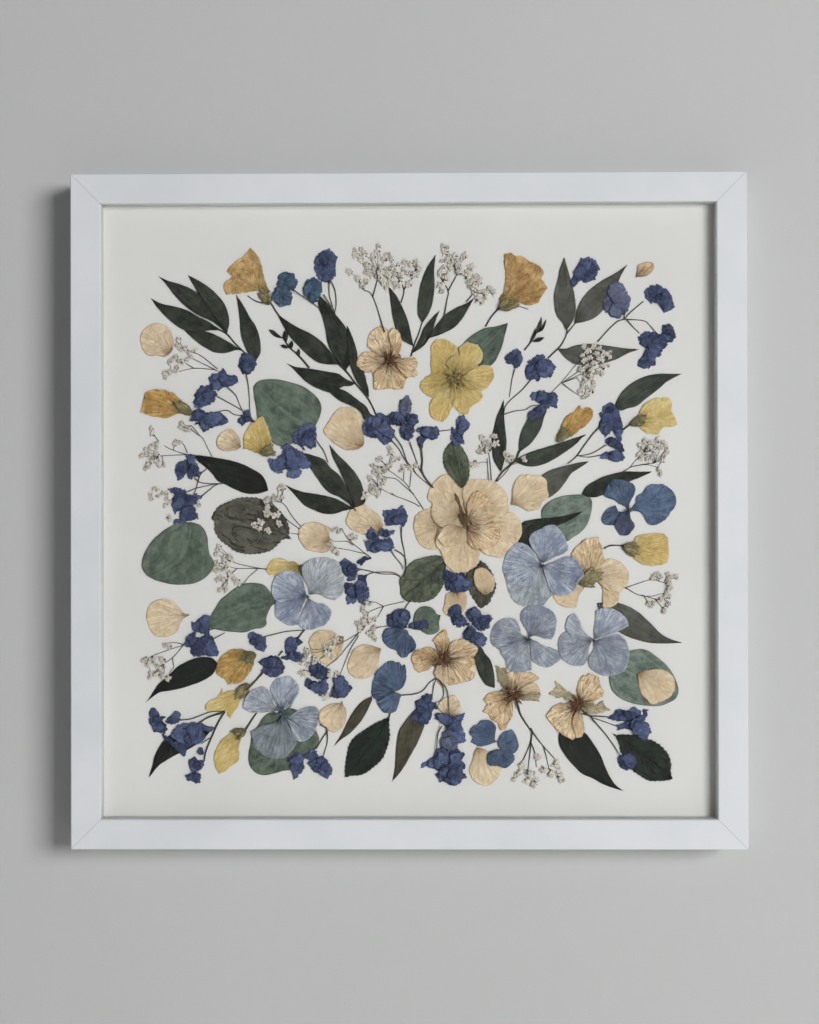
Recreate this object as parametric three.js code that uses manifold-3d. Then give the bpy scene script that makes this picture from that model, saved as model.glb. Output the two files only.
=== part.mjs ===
// A square white frame holding pressed flowers and leaves behind glass.
// Millimetres. +X is right, +Z is up and -Y is the front. The origin is the middle of the whole frame.

import * as THREE from "three";
import { mergeVertices } from "three/addons/utils/BufferGeometryUtils.js";
import Module from "manifold-3d";

const wasm = await Module();
wasm.setup();

// ---------------------------------------------------------------- driving dimensions

const HALF_FRAME = 242;
const HALF_OPENING = 220.5;
const HALF_REBATE = 226.5;
const GAP = 0.3;

const RAIL_FRONT = -16;
const RAIL_BACK = 14;
const RAIL_EDGE_ROUND = 0.6;
const LIP_BACK = -11;

const HALF_GLASS = 226;
const GLASS_THICK = 2;
const SPACER_HALF_INNER = 220.8;
const HALF_CARD = 225;
const CARD_FRONT = -3;
const CARD_THICK = 1.5;
const BOARD_THICK = 3;

const TAPE_THICK = 0.4;
const TAPE_WIDTH = 20;
const TAPE_RISE = 6;

const HANGER_LENGTH = 46;
const HANGER_HEIGHT = 10;
const HANGER_THICK = 1.2;
const HANGER_TEETH = 9;
const HANGER_TOOTH = 2;
const HANGER_HOLE_X = 18;
const HANGER_HOLE = 1.4;
const BUMPER_RADIUS = 5;
const BUMPER_THICK = 1.7;
const BUMPER_SIDES = 24;

const LEAF_THICK = 0.4;
const FLOWER_THICK = 0.8;
const FLORET_THICK = 0.5;
const ROSE_THICK = 1.2;
const STRAIGHT = 0.35;
const WELD = 0.02;
const SAME_POINT = 1e-4;
const NEAR = 1;

const MITRE_SETBACK = GAP / Math.SQRT2;
const RAIL_MIDDLE = (HALF_REBATE + HALF_FRAME) / 2;
const GLASS_FRONT = LIP_BACK + GAP;
const GLASS_BACK = GLASS_FRONT + GLASS_THICK;
const CARD_BACK = CARD_FRONT + CARD_THICK;
const BOARD_FRONT = CARD_BACK + GAP;
const BOARD_BACK = BOARD_FRONT + BOARD_THICK;

// ---------------------------------------------------------------- colours

const WHITE_PAINT = new THREE.MeshStandardMaterial({ color: 0xd2d4d8, roughness: 0.45, metalness: 0 });
const GLASS = new THREE.MeshStandardMaterial({ color: 0xf4f8f6, roughness: 0.05, metalness: 0 });
const CARD = new THREE.MeshStandardMaterial({ color: 0xd5d4d0, roughness: 0.9, metalness: 0 });
const FOAM = new THREE.MeshStandardMaterial({ color: 0xc9c8c4, roughness: 0.8, metalness: 0 });
const FIBREBOARD = new THREE.MeshStandardMaterial({ color: 0x8a6f50, roughness: 0.85, metalness: 0 });
const TAPE = new THREE.MeshStandardMaterial({ color: 0xb59a6d, roughness: 0.7, metalness: 0 });
const STEEL = new THREE.MeshStandardMaterial({ color: 0x9b9da0, roughness: 0.35, metalness: 1 });
const FELT = new THREE.MeshStandardMaterial({ color: 0x6b6c6e, roughness: 0.95, metalness: 0 });

const DRIED = {
  eucalyptus: new THREE.MeshStandardMaterial({ color: 0x55665a, roughness: 0.8, metalness: 0 }),
  ruscus: new THREE.MeshStandardMaterial({ color: 0x3a3d35, roughness: 0.75, metalness: 0 }),
  rose_leaf: new THREE.MeshStandardMaterial({ color: 0x3b3a33, roughness: 0.8, metalness: 0 }),
  broad_leaf: new THREE.MeshStandardMaterial({ color: 0x4a4a3c, roughness: 0.8, metalness: 0 }),
  peach: new THREE.MeshStandardMaterial({ color: 0xd8bd93, roughness: 0.7, metalness: 0 }),
  yellow: new THREE.MeshStandardMaterial({ color: 0xc9a85a, roughness: 0.7, metalness: 0 }),
  cream: new THREE.MeshStandardMaterial({ color: 0xd6bf9c, roughness: 0.7, metalness: 0 }),
  hydrangea: new THREE.MeshStandardMaterial({ color: 0x8e9bb0, roughness: 0.8, metalness: 0 }),
};

// ---------------------------------------------------------------- shapes

function solidOf(geometry) {
  const bare = geometry.clone();
  bare.deleteAttribute("normal");
  bare.deleteAttribute("uv");
  const merged = mergeVertices(bare, SAME_POINT);
  const vertProperties = new Float32Array(merged.attributes.position.array);
  const triVerts = new Uint32Array(merged.index.array);
  return new wasm.Manifold(new wasm.Mesh({ numProp: 3, vertProperties, triVerts }));
}

function geometryOf(solid) {
  const mesh = solid.getMesh();
  const geometry = new THREE.BufferGeometry();
  geometry.setAttribute("position", new THREE.BufferAttribute(mesh.vertProperties, 3));
  geometry.setIndex(new THREE.BufferAttribute(mesh.triVerts, 1));
  geometry.computeVertexNormals();
  return geometry;
}

// An outline in X and Z, made into a plate whose front and back are given in Y.
function plate(shape, front, back) {
  const geometry = new THREE.ExtrudeGeometry(shape, { depth: back - front, bevelEnabled: false });
  geometry.rotateX(Math.PI / 2);
  geometry.translate(0, back, 0);
  return geometry;
}

function squareShape(half) {
  const corners = [[-half, -half], [half, -half], [half, half], [-half, half]];
  return new THREE.Shape(corners.map(([x, z]) => new THREE.Vector2(x, z)));
}

function squareRing(outer, inner, front, back) {
  const shape = squareShape(outer);
  shape.holes.push(squareShape(inner));
  return plate(shape, front, back);
}

function named(name, geometry, material) {
  const mesh = new THREE.Mesh(geometry, material);
  mesh.name = name;
  return mesh;
}

// ---------------------------------------------------------------- frame and backing

// The top rail's section, in distance out from the middle of the frame and in Y.
const RAIL_SECTION = [
  [HALF_OPENING, RAIL_FRONT + RAIL_EDGE_ROUND],
  [HALF_OPENING + RAIL_EDGE_ROUND, RAIL_FRONT],
  [HALF_FRAME - RAIL_EDGE_ROUND, RAIL_FRONT],
  [HALF_FRAME, RAIL_FRONT + RAIL_EDGE_ROUND],
  [HALF_FRAME, RAIL_BACK],
  [HALF_REBATE, RAIL_BACK],
  [HALF_REBATE, LIP_BACK],
  [HALF_OPENING, LIP_BACK],
];

// One rail, lying along X at the top of the frame, with its ends cut at 45 degrees.
function railGeometry() {
  const section = new THREE.Shape(RAIL_SECTION.map(([out, y]) => new THREE.Vector2(out, y)));
  const geometry = new THREE.ExtrudeGeometry(section, { depth: 2, bevelEnabled: false });
  const points = geometry.attributes.position;
  for (let i = 0; i < points.count; i += 1) {
    const out = points.getX(i);
    const y = points.getY(i);
    const side = points.getZ(i) > 1 ? -1 : 1;
    points.setXYZ(i, side * (out - MITRE_SETBACK), y, out);
  }
  return geometry;
}

function rails() {
  const geometry = railGeometry();
  const turns = { rail_top: 0, rail_right: 1, rail_bottom: 2, rail_left: 3 };
  return Object.entries(turns).map(([name, quarter]) => {
    const rail = named(name, geometry, WHITE_PAINT);
    rail.rotation.y = (quarter * Math.PI) / 2;
    return rail;
  });
}

function glazing() {
  const geometry = new THREE.BoxGeometry(2 * HALF_GLASS, GLASS_THICK, 2 * HALF_GLASS);
  const pane = named("glazing", geometry, GLASS);
  pane.position.y = (GLASS_FRONT + GLASS_BACK) / 2;
  return pane;
}

function spacer() {
  const ring = squareRing(HALF_GLASS, SPACER_HALF_INNER, GLASS_BACK + GAP, CARD_FRONT - GAP);
  return named("spacer", ring, FOAM);
}

function mountCard() {
  const card = named("mount_card", new THREE.BoxGeometry(2 * HALF_CARD, CARD_THICK, 2 * HALF_CARD), CARD);
  card.position.y = (CARD_FRONT + CARD_BACK) / 2;
  return card;
}

function backingBoard() {
  const geometry = new THREE.BoxGeometry(2 * HALF_CARD, BOARD_THICK, 2 * HALF_CARD);
  const board = named("backing_board", geometry, FIBREBOARD);
  board.position.y = (BOARD_FRONT + BOARD_BACK) / 2;
  return board;
}

// Gummed tape that lies on the board's edge and turns up against the rails.
function backingTape() {
  const outer = HALF_REBATE - GAP;
  const front = BOARD_BACK + GAP;
  const flat = solidOf(squareRing(outer, outer - TAPE_WIDTH, front, front + TAPE_THICK));
  const turnedUp = solidOf(squareRing(outer, outer - TAPE_THICK, front, front + TAPE_RISE));
  return named("backing_tape", geometryOf(flat.add(turnedUp)), TAPE);
}

// A strip of steel with teeth along its lower edge and a nail hole at each end.
function sawtoothHanger() {
  const half = HANGER_LENGTH / 2;
  const toothed = HANGER_HOLE_X - 2 * HANGER_HOLE;
  const step = (2 * toothed) / HANGER_TEETH;
  const shape = new THREE.Shape();
  shape.moveTo(-half, 0);
  for (let tooth = 0; tooth < HANGER_TEETH; tooth += 1) {
    const x = -toothed + tooth * step;
    shape.lineTo(x, 0);
    shape.lineTo(x + step / 2, HANGER_TOOTH);
  }
  shape.lineTo(toothed, 0);
  shape.lineTo(half, 0);
  shape.lineTo(half, HANGER_HEIGHT);
  shape.lineTo(-half, HANGER_HEIGHT);
  for (const x of [-HANGER_HOLE_X, HANGER_HOLE_X]) {
    const hole = new THREE.Path();
    hole.absarc(x, HANGER_HEIGHT / 2, HANGER_HOLE, 0, 2 * Math.PI);
    shape.holes.push(hole);
  }
  const geometry = plate(shape, RAIL_BACK + GAP, RAIL_BACK + GAP + HANGER_THICK);
  const hanger = named("sawtooth_hanger", geometry, STEEL);
  hanger.position.z = RAIL_MIDDLE - HANGER_HEIGHT / 2;
  return hanger;
}

function bumpers() {
  const geometry = new THREE.CylinderGeometry(BUMPER_RADIUS, BUMPER_RADIUS, BUMPER_THICK, BUMPER_SIDES);
  return [["bumper_left", -1], ["bumper_right", 1]].map(([name, side]) => {
    const bumper = named(name, geometry, FELT);
    bumper.position.set(side * RAIL_MIDDLE, RAIL_BACK + GAP + BUMPER_THICK / 2, -RAIL_MIDDLE);
    return bumper;
  });
}

// ---------------------------------------------------------------- pressed specimens

// Outlines in X and Z, listed from the card upwards. Each starts where it joins its stem or centre.
// Its letter says what it is: T and a width is a stem, E eucalyptus, R U V W B ruscus from dark to brown,
// S D F rose leaves, Y G O C petals, K a calyx, Q a flower centre, H I J M N hydrangea petals.
const SPECIMENS = `
eucalyptus_leaf_1
  E -68,60 -66,64 -63.5,70 -63,76 -65,81 -70,86 -77,90.5 -85,93 -93,95 -100,95.5 -105,95 -110,93 -112,90
    -112,86 -110,74 -109,67 -105,60 -101,53 -97,49 -93,47 -86,48 -78,52
eucalyptus_leaf_2
  E -163,-8 -155,-8.5 -151,-10 -147,-15 -145.5,-20 -145,-26 -144,-31 -141,-37 -141,-40 -144,-45
    -149,-49.5 -155,-52 -161,-53 -170,-53 -176,-52 -185,-49 -190,-46 -193,-40 -192.5,-34 -190,-28
    -186,-22 -181,-17 -175,-12.5 -168,-9
eucalyptus_leaf_3
  E 96,-3 97,2 101,6 108,9.5 115,11 122,11.5 128,11 132,8 132.5,3 131,-5 129,-10 124,-16 118,-20 115,-22
    108,-20 101,-14 97,-8
eucalyptus_leaf_4
  E -95.5,-66.5 -100,-59 -104,-54 -110,-52 -115,-52 -121,-53 -126,-56 -131,-60 -136,-64 -140,-70
    -143,-75 -145,-79 -144,-84 -139,-85.5 -131,-87 -125,-87.5 -118,-87.5 -114,-86 -110,-85 -105,-84
    -103,-82 -103,-78 -101,-72 -98.5,-68
eucalyptus_leaf_5
  E -91,-146 -86,-142.5 -81,-144 -74,-150 -68,-157 -65,-165 -66,-170 -70,-174 -78,-181 -85,-187 -92,-188
    -98,-190 -105,-191 -111,-189 -115,-184 -116,-177 -114.5,-168 -113,-160 -109,-155 -106,-150 -101,-146
eucalyptus_leaf_6
  E 148,-112 155,-104 159,-101.5 163,-100.5 168,-100 173,-101.5 178,-105 183,-109 187,-113 191,-119
    193.5,-125 194.5,-130 193,-135 188,-138.5 181,-141 173,-141 165,-140 158,-138 152,-135 147,-130
    145,-124 145,-118
broad_leaf
  E 42,106 40,112 40,120.5 44,125 48,128 56,132 62,133 72,135.5 70,127 68,119 65,112 62,107 60,105
    55,104 48,104
rose_leaf_1
  S -84,-20.5 -86,-19 -86,-14 -87.5,-8 -90,-4 -93,0 -97,3 -101,6 -106,8.5 -114,10 -118,10 -126,8.5
    -132,6 -137,4 -140,0 -143,-5 -141,-7 -140,-14 -136,-21 -131,-25 -125,-29 -118,-31 -112,-31
    -107,-30.5 -99,-28 -94,-24 -90,-20.3
rose_leaf_2
  F 27,-37 24,-33 17,-32.5 10,-34 4,-36 -1,-40 -4,-46 -6.5,-50 -6,-56 -5,-62 -3,-64.5 3,-66 10,-66
    17,-64 22,-59 25,-54 26.5,-48 27,-42
rose_leaf_3
  D -14,-149 -14,-156 -14,-165 -16,-172 -19,-179 -24,-184 -29,-188 -36,-191 -42,-191.5 -46,-193 -46,-185
    -45,-177 -43.5,-170 -40,-164.5 -34,-159.5 -27,-155 -19,-151
  T1.2 -14.5,-150 -13.5,-146
rose_leaf_4
  D 146,-160 148,-161.5 155,-161.5 163,-162 170,-164 176,-166 182,-170 187,-176 189,-183 189,-190
    190,-194 182,-195 172,-194.5 166,-191 160,-186.5 156,-180 152.5,-173 151,-167 148.5,-162.5
ruscus_sprig_1
  T1.4 -140,133.5 -137,131.5 -131,128 -125,121 -117,113 -111,104
  R -119,115.5 -122,116.5 -133,114.5 -140,115 -147,118.5 -152,122 -158,127 -163,132 -156,131.5
    -144,129.5 -130,122.5
  R -137,131 -144,137 -152,141 -160,145.5 -170,148.5 -180,151 -186.5,154.5 -182,148 -175,140.5 -170,136
    -160,130.5 -150,130 -142,131
  R -131,128.5 -143,138 -150,141 -163,150 -170,157.5 -175,164 -181,170.5 -175,167.5 -165,164.5 -152,158
    -142,149 -135,139
  R -131,128.5 -129.5,136 -130,142 -133,150 -140,158.5 -150,166 -159.5,171 -156,165 -151,157 -145,148
    -138,138
  R -112,106 -107,115 -107,122 -110,133 -115,141 -120,150 -124.5,156.5 -123,148 -122,139 -121,128
    -118,119 -114,111
ruscus_sprig_2
  T1.6 -53,110 -50,106 -44,100 -38,92 -29,81 -23.5,70 -22,65
  R -38,92.4 -41,90.6 -47,90 -54,86 -58,86 -64,88 -70,91 -75,94.5 -79,98.5 -84,103.5 -88,107 -82,104.5
    -75,103.5 -65,102 -57,100.5 -50,99 -46,96
  R -22.6,68 -27,66 -32,66 -34,71 -40,75.5 -46,78 -50,80 -56,85 -60,92 -52,89 -46,87 -40,83 -36,80
    -30,75 -27,70
  R -50,106 -58,106 -65,107.5 -70,110.5 -75,115 -80,120 -87,128 -92,137 -95,143 -88,138 -80,133 -70,128
    -62,122 -56,115
  R -45,101.5 -52,110 -58,121 -60,132 -62,140 -65,150 -64,156 -58,150 -53,143 -46,134 -41,124 -40,115
    -42,107
  R -28.5,82 -31,85 -36,92 -40,100 -43,110 -44,120 -44,134 -42,130 -39,122 -37,115 -36.5,108 -35,104
    -32,100 -30,93 -28.5,86
ruscus_sprig_3
  T1.2 -46,11 -42,5 -38,0
  R -39,3 -46,7.5 -50,10 -57,13 -62,18 -67,25 -71,31 -76,36 -81,42 -76,42 -68,40 -61,37 -56,31 -51,27
    -45,18 -41,10
  R -39.6,2.2 -40,9 -44,17 -50,30 -55,40 -57,48 -52,42 -45,35 -38,27 -34,20 -32,13 -31.5,6 -34,4
  R -39,1.6 -47,0 -53,-2 -61,-2 -68,0.5 -75,4 -80,9 -85,14.5 -89,19 -84,16.5 -77,14 -68,12.5 -60,11
    -53,9 -47,6
ruscus_sprig_4
  T1.3 2,112 3.5,117 5,122 7.5,128 10.5,137.5
  R 4,119 -6,125 -10,136 -12,145 -13,155 -14.5,163 -8,155 -4,147 0,137 2,128
  R 10.5,136 7.5,141 7,148 8,158 10,167 15,178 20,185 19,175 19,160 17.5,150 15,143
  R 3,114 8,124 12,133 17,139 23,145 20,138 17,128 12,120
  R 13,124 22,136 26,141 34,146.5 42,150 48,154 44,147 40,140 34,133 27,129
ruscus_sprig_5
  T1.3 101,110 105,114 110,119 114,126 115,131
  T1 114,127 121,135.5
  U 114,130 112,135 108,140 106,147 105.5,155 108,166 110,175 113,183 115,176 118,165 120,157 121,145
    119,137
  U 120.5,135 122,144 126,153 133,161 140,166 150,171.5 158.5,177.5 154,170 150,160 147,152 141,145
    136,140 128,136.5
  U 108,117 114,117 120,119 128,120.3 140,119.5 150,118 158,117 167,116.3 160,114 150,109 142,106.5
    135,105 128,105 120,106 114,110
ruscus_sprig_6
  T1.8 80,43 77,36 70,30 67,27 63,21
  R 67,28 62,36 60.5,45 60.5,53 62,60 64,68 67,75 69,80.5 69,72 70,60 71,50 70.5,43 69,35
  W 80,42 80,50 81.5,57 85,64 88,70 93,75 99,78 100,73 98,67 96,60 92,53 88,48 84,45
  U 76.5,36 83,40 90,43 100,46 110,49 116,51 122,53 128.5,55 125,52 120,47 113,42 105,37 98,33.5 92,32
    86,32 80,34
ruscus_leaf_1
  W 149,76 151,80 154,85 159,90 165,94 172,97 180,98.5 190,98.5 197.5,98.5 187,93 180,87 172,81 165,75.5
    158,73.5 153,72
ruscus_leaf_2
  B -101.5,15 -103,21 -106,26 -112,30 -120,34 -128,36.5 -138,38.5 -148,40 -157,41 -152,36 -146,31
    -142,27 -138,22 -132,19 -126,16 -118,13 -110,12.5 -105,13.5
ruscus_leaf_3
  U 93,8 94,20 96,25 101,28.5 108,31 116,33 122,34.5 130.5,35.5 124,31 118,27 113,20 108,14 102,9.5
ruscus_leaf_4
  R 125.5,12 128,17 134,21 141,24.5 148,26.5 155,28 165,28 176,28 168,24 160,21 152,16 146,13 141,11.5
    137,10 132,9.5 127,11
ruscus_leaf_5
  R 79,-28 80,-16 82,-9 90,-6.5 97,-5.5 105,-5 112,-4 120,-2 126,-0.5 120,-5 112,-9 107,-11 100,-12
    94,-15 90,-19 88,-26
ruscus_leaf_6
  B -138.5,-110 -142,-106.5 -148,-105.5 -155,-106.5 -160,-108.5 -168,-113 -173,-118 -177,-121.5
    -181,-125 -184,-129 -187,-134 -190.5,-138.5 -185,-134 -180,-131 -174,-130 -166,-128.5 -158,-126
    -152,-124 -146,-121 -141,-117
ruscus_leaf_7
  B -141,-157 -147,-155 -155,-153 -163,-156 -170,-160 -177,-165 -181,-171 -184,-177 -186,-185
    -188.5,-193 -186,-190 -181,-184 -175,-180 -168,-176 -161,-173 -154,-169 -149,-166 -146,-162
ruscus_leaf_8
  V 8,-141 4,-144 -2,-151 -7,-159 -8.5,-166 -9.5,-175 -10,-185 -12,-195.5 -5,-187 1,-177 6,-168 9.5,-160
    12,-152 12,-145
ruscus_leaf_9
  B 120,-157 108.5,-160 108,-165 109,-170 113,-177 119,-184 125,-190 132,-193 140,-197.5 155,-202.5
    149,-198 145,-192 142,-186 138,-176 133,-168 127,-160.5
ruscus_leaf_10
  U 136,-67 142,-66 150,-66.5 158,-69 165,-73 171,-78 177,-84 182,-89 188,-92.5 197,-95.5 185,-96
    174,-95.5 165,-93.5 158,-91 152,-88 145,-82 138,-74
peach_bud_1
  T1.5 -103,155 -99,150 -96,145 -93,141
  G -103,155 -109,160 -118,158 -131,157 -132,163 -133,168 -131,174 -124,181 -120,183.5 -114,190.5
    -108,183 -105,172 -103,165 -100,159
  K -100,150 -104,151 -109,157 -110,163 -105,161 -101,157 -98.5,152
  K -100,150 -107,151.5 -116,155.5 -108,154.5
peach_bud_2
  T1.5 68,150 66,147 60,140 56,133
  G 67,148 66,153 68,156 70,163 70.5,172 70,180 70,185 73,186 78,184 82,183.5 88,180 95,176.5 98,172
    96,168 99,164 101,160.5 97,156 94,150 88,148.5 80,150 72,149
  K 66,146.5 70,153 76,153 82,149 85,145.5 75,147.5
yellow_flower
  Y 32,97 26,98 17,98 16.3,105 16.5,112 17,120 21,124 29,123 35,118 36,108 34,100
  Y 36,98 37,108 37,118 42,122 50,120 53.5,114 52,107 46,101 40,97
  Y 38,96 44,101 50,104 57,105 61,103 62,97 60,92 56,88 50,86 44,88 39,92
  Y 37,92 43,88 50,87 54,83 51,78 48,77 45,74 43,70 40,69 37,71 34,75 34,82 35,88
  Y 33,91 35,84 34,77 30,71 28,67 25,64.5 20,65.5 17,68 15,74 16,79 19,82.5 24,86 29,89
  Y 30,94 27,88 22,84 17,82.5 13,84 10,86.5 8.5,90 10,93 13,97 18,99 25,98
  Y 34,99 27,106 31,111 36,113 38,106 37,99
  K 30,96 33,100 37,99 39,94 36,90 32,90 29,92
peach_flower_1
  O -15,110 -22,113 -30,119 -29,125 -25,131 -19,134 -14,130 -12,120 -13,113
  O -13,110 -12,118 -14,127 -11,132.5 -7,130 -5,122 -6,115 -9,111
  O -16,108 -21,112 -28,115.3 -32,114.5 -35,112 -37.5,105 -35,103 -32,101 -27,100.3 -20,102
  O -14,106 -20,103 -24.5,100 -25,94 -25,88 -20,88 -14,88.5 -8,88 -3.5,88 -3,91 -1,95 0,99 -7,104
  O -11,108 -9,110.5 -4,110 0,110.5 5,110.5 7,107 6,104 4.5,102 7.5,99.5 5,97.5 2,97 -1,96 -6,101
  Q -16,106 -18,110 -14,113 -10,111 -9,108 -12,105
peach_flower_2
  O 25,-104 21,-100 20,-97 17,-94 22,-89 25.5,-85.5 27,-86 28,-90 29.5,-96 29,-101
  O 28,-105 29,-99 31,-95 36,-93 40,-92 44,-95 48,-97 50,-99 48,-104 42,-107 34,-108
  O 29,-107 38,-106 44,-104.5 48,-108 48,-116 47,-121 42,-123.5 36,-124.5 31,-117
  O 26,-109 32,-115 36,-124.5 30,-126 25,-127 22,-124 18,-118 20,-112
  O 22,-107 20,-101 16,-98.5 10,-99.5 4,-102 2,-105 3,-110 5,-115 8,-116.5 12,-115.5 16,-113 20,-110
  Q 20.5,-104 25,-103 29,-104 30,-108 27,-111 20.5,-110
peach_flower_3
  T2.6 77,-135 79,-142 81,-148 88,-159
  O 74,-130 71,-124 71,-117 77,-115.5 85,-116.5 89,-117 92,-119 94,-121 91,-123 86,-125 80,-128
  C 78,-131 82,-127 86,-125 92,-125 94,-128 95,-132 92,-134.5 86,-135 80,-134
  K 78,-133 84,-135 91,-134.5 90,-138 84,-137.5 78,-136.5
  O 73,-133 66,-130.5 58,-132 56,-137 56,-143 60,-148 62,-153 66,-156 69,-157 72,-153 74,-146 74.5,-139
  K 72,-130 70,-122 68,-114 63.5,-114 65,-121 66,-127
  Q 70,-131 74,-128 79,-131 80,-136 76,-139 71,-136
peach_flower_4
  T2 124,-143 128,-146.5 132,-149
  O 120,-141 118,-137.5 115,-139 110,-139 104,-142 99,-148 101,-151 105,-156 109,-160 113,-163
    118,-165.5 121,-163 119,-152
  O 122,-142 124,-146 126,-152 126.5,-158 125,-163 121,-164 118,-155 119,-147
  O 124,-138 122,-133 122,-125 126,-119 128,-119.5 130,-117.5 133,-119 137,-120 138,-125 141,-131
    140,-134 136,-136 132,-139
  K 124,-140 132,-139.5 137,-140 139,-143 141.8,-141 141,-144 138,-144.7 124,-143
  K 120,-138 115,-135.5 108,-134.5 101,-132 107,-129.5 106.5,-124 109,-126 114,-130 120,-133 122,-136
  Q 118,-136 121,-134 125,-137 125,-143 121,-144 118,-141
yellow_bud_1
  T1.6 -158,71 -153,69 -148,66
  G -159,72 -161,76.5 -165,81 -170,85.5 -178,88 -185,88 -191,85.5 -192,80 -193.5,72 -187,70 -182,68.5
    -175,67.5 -170,69.5 -167,71 -162,71.2
  K -156.5,70.5 -159,74 -162,78 -167,80 -170,76 -168,71.5 -162,71
yellow_bud_2
  T1.4 152,56 156,59 160,62 164,64.5
  Y 163,64 165,68 167,71 170,76 175,79.5 180,81 188,81 190,78.5 190,71 192,68 194,62 190,60 184,60
    182,57.5 181,54.5 178,55 172,56 168,59
  K 161,62 165,68 169,71 172,67 171,62 168,58.5 164,61
yellow_bud_3
  T1.2 141,-27.5 145,-25.5 150,-25.2 156,-25.8 160,-27.5
  Y 159,-27 162,-22.5 164,-19.5 170,-17.5 178,-16.5 185,-17.5 187.5,-20 187.5,-27 187.5,-33 186.5,-38
    181,-39.5 173,-40 167,-38 162,-34 159,-31
  K 155,-26 159,-23 163,-22 166,-27 166,-34 162,-34 158,-30
yellow_bud_4
  G -114,-103 -120,-100 -127,-100 -132,-102 -137,-107 -139,-112 -139,-117 -136,-120 -132,-121.5
    -130.5,-125.5 -128,-125 -124,-124.5 -120,-122.5 -117,-119 -114.5,-116 -112,-109
  K -111,-103 -116,-101.5 -121,-104 -122,-108 -116,-110 -112,-110
yellow_bud_5
  T1.6 -120,-161 -113,-150 -109,-144.5
  G -120,-160 -124,-158.5 -130,-161 -135,-165 -138,-170 -141,-177 -140.5,-183 -138.5,-188 -137,-190
    -133,-188 -129,-184.5 -125,-182 -122.5,-177 -123,-172 -121.5,-165
  K -118,-158.5 -121,-157.5 -127,-157.5 -133,-161 -126,-160 -123,-166 -120,-163
yellow_bud_6
  Y -104,42 -97,39.3 -98,48 -99,52 -102,61 -105.5,69 -109,66.5 -113,64 -117,59 -119,52 -119.5,45 -114,44
    -110,42
  K -106,41 -97,39 -96,41 -99,48 -103,47
yellow_lily
  C 129,-51 124,-53 118,-55 106,-58 104.5,-61 106,-65 112,-69.5 121,-70 122,-66 124,-60 127,-55
  C 136,-51 140,-57 140,-62 140,-70 146,-70 151,-66 152,-60 150,-56 142,-51
  Y 134,-47 137,-40 141,-37 146,-35 152,-37 157,-42 159,-48 158,-53 155,-57 149,-58.5 143,-57 138,-53
  G 130,-47 126,-44 124,-40 122,-36 117,-32.5 119,-29 124,-24 128,-20.5 132,-20 137,-19.5 138.5,-24
    140,-31 141.5,-38 138,-44
  K 124,-52 127,-45 130,-42 136,-42 140,-46 139,-52 135,-55 130,-53.5 127,-54
cream_rose
  C 24,-10 16,2 12,1 8,-1 5,-4 4,-10 5,-18 9,-25 14,-27.5 20,-28 26,-29 26,-20
  C 36,-4 24,-12 20,-9 16,-1 17,5 14,8 14,12 16,17 20,22 25,26 30,26 36,20 40,14 39,4
  C 40,-12 30,-12 22,-13 20,-20 19.5,-24 23,-29 26,-37 32,-44 38,-47 44,-45 48,-42 50,-37 51,-33 52,-28
    48,-22
  C 52,-8 70,-2 73,-1 78,-4 81,-9 82,-14 81,-19 78,-23 75,-26 70,-31 68,-34 62,-33.5 57,-32 52,-28
    48,-20
  C 43,-3 40,6 39,14 43,22 48,22.5 55,22.5 61,21 67,17 71,12 72,6 72,0 66,-6 52,-9
  C 38,-12 30,-10 24,-13 21,-20 26,-26 36,-24 44,-22 42,-14
  O 43,-6 42,2 46,12 50,14.5 56,11 60,6 63,0 62,-4 57,-9 48,-12
  O 43,-10 52,-10 62,-8 66,-14 66,-22 58,-27 52,-28 46,-20
  O 42,-14 46,-12 51,-14 53,-22 50,-28 46,-27 43,-22
  Q 33,14 36,9 38,0 37,-8 34,-4 32,5
  Q 39,5 42,0 43,-8 42,-16 38,-13 37,-4
hydrangea_1
  H -74,-61 -75,-55 -77,-48 -79,-45 -84,-43.5 -90,-43.5 -95,-46 -98,-51 -99,-57 -98,-62 -95,-66 -86,-66
    -79,-64
  H -74,-62 -77,-70 -80,-78 -80,-82.5 -87,-82.5 -92,-80 -96,-76 -96.5,-70 -95,-64 -88,-62 -80,-61.5
  I -72,-61 -73,-54 -76,-48 -77,-42 -75,-38 -70,-34.5 -62,-33.5 -54,-35 -49,-39 -47,-46 -47,-52 -47,-58
    -50,-62 -54,-64.5 -58,-63.5 -63,-61 -70,-60.3
  H -72,-63 -67,-66.5 -62,-67 -58,-69.5 -56,-73 -57,-78 -60,-82 -66,-84.5 -72,-86 -78,-84.5 -80.5,-81
    -78,-76 -75.5,-70
  K -75,-60.5 -72,-59.5 -70.5,-62 -72,-65 -75,-64
hydrangea_2
  I 95,-41 98,-47 100,-52 102,-56 104,-61 101,-64 97,-68.5 90,-70 85,-69 80,-68 75,-64 72,-57 70,-48
    76,-44 86,-41
  H 96,-39.5 91,-32 87,-26 84,-24 78,-23.5 75,-26 71,-31 69,-36 68,-41 69,-46 73,-51 77,-53 85,-54
    92,-52 95,-46
  H 97,-40 106,-36 113,-33 117,-33 122,-36 124,-40 126,-46 122,-52 119,-58 115,-61 106,-60.5 102,-57
    99.5,-50 98,-44
  H 96.5,-38 92,-31 88,-25 87,-20 90,-16 95,-13.5 100,-11 105,-10.5 109,-14 112,-18 114,-23 115,-28
    112,-31 107,-33 100,-36.5
  K 95,-37.5 98,-37.5 99,-40 97,-42 94.5,-41
hydrangea_3
  M 159,0 156,3 152,4.5 149,7 143,9.5 141,11 142.5,15 145,20 148,22.5 153,22.5 158,21 162,19 164,16
    162.5,11 160,6
  M 159,0.5 164,5 165,9.5 169,13 172,17 175,18.5 180,19 183,19 186,17.5 190,14.5 192.5,11 193,6 192,2
    189.5,-1 187,-5 183,-8 180,-10 175,-10.5 172.5,-9 170,-4 167,-1 163,-0.5
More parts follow.
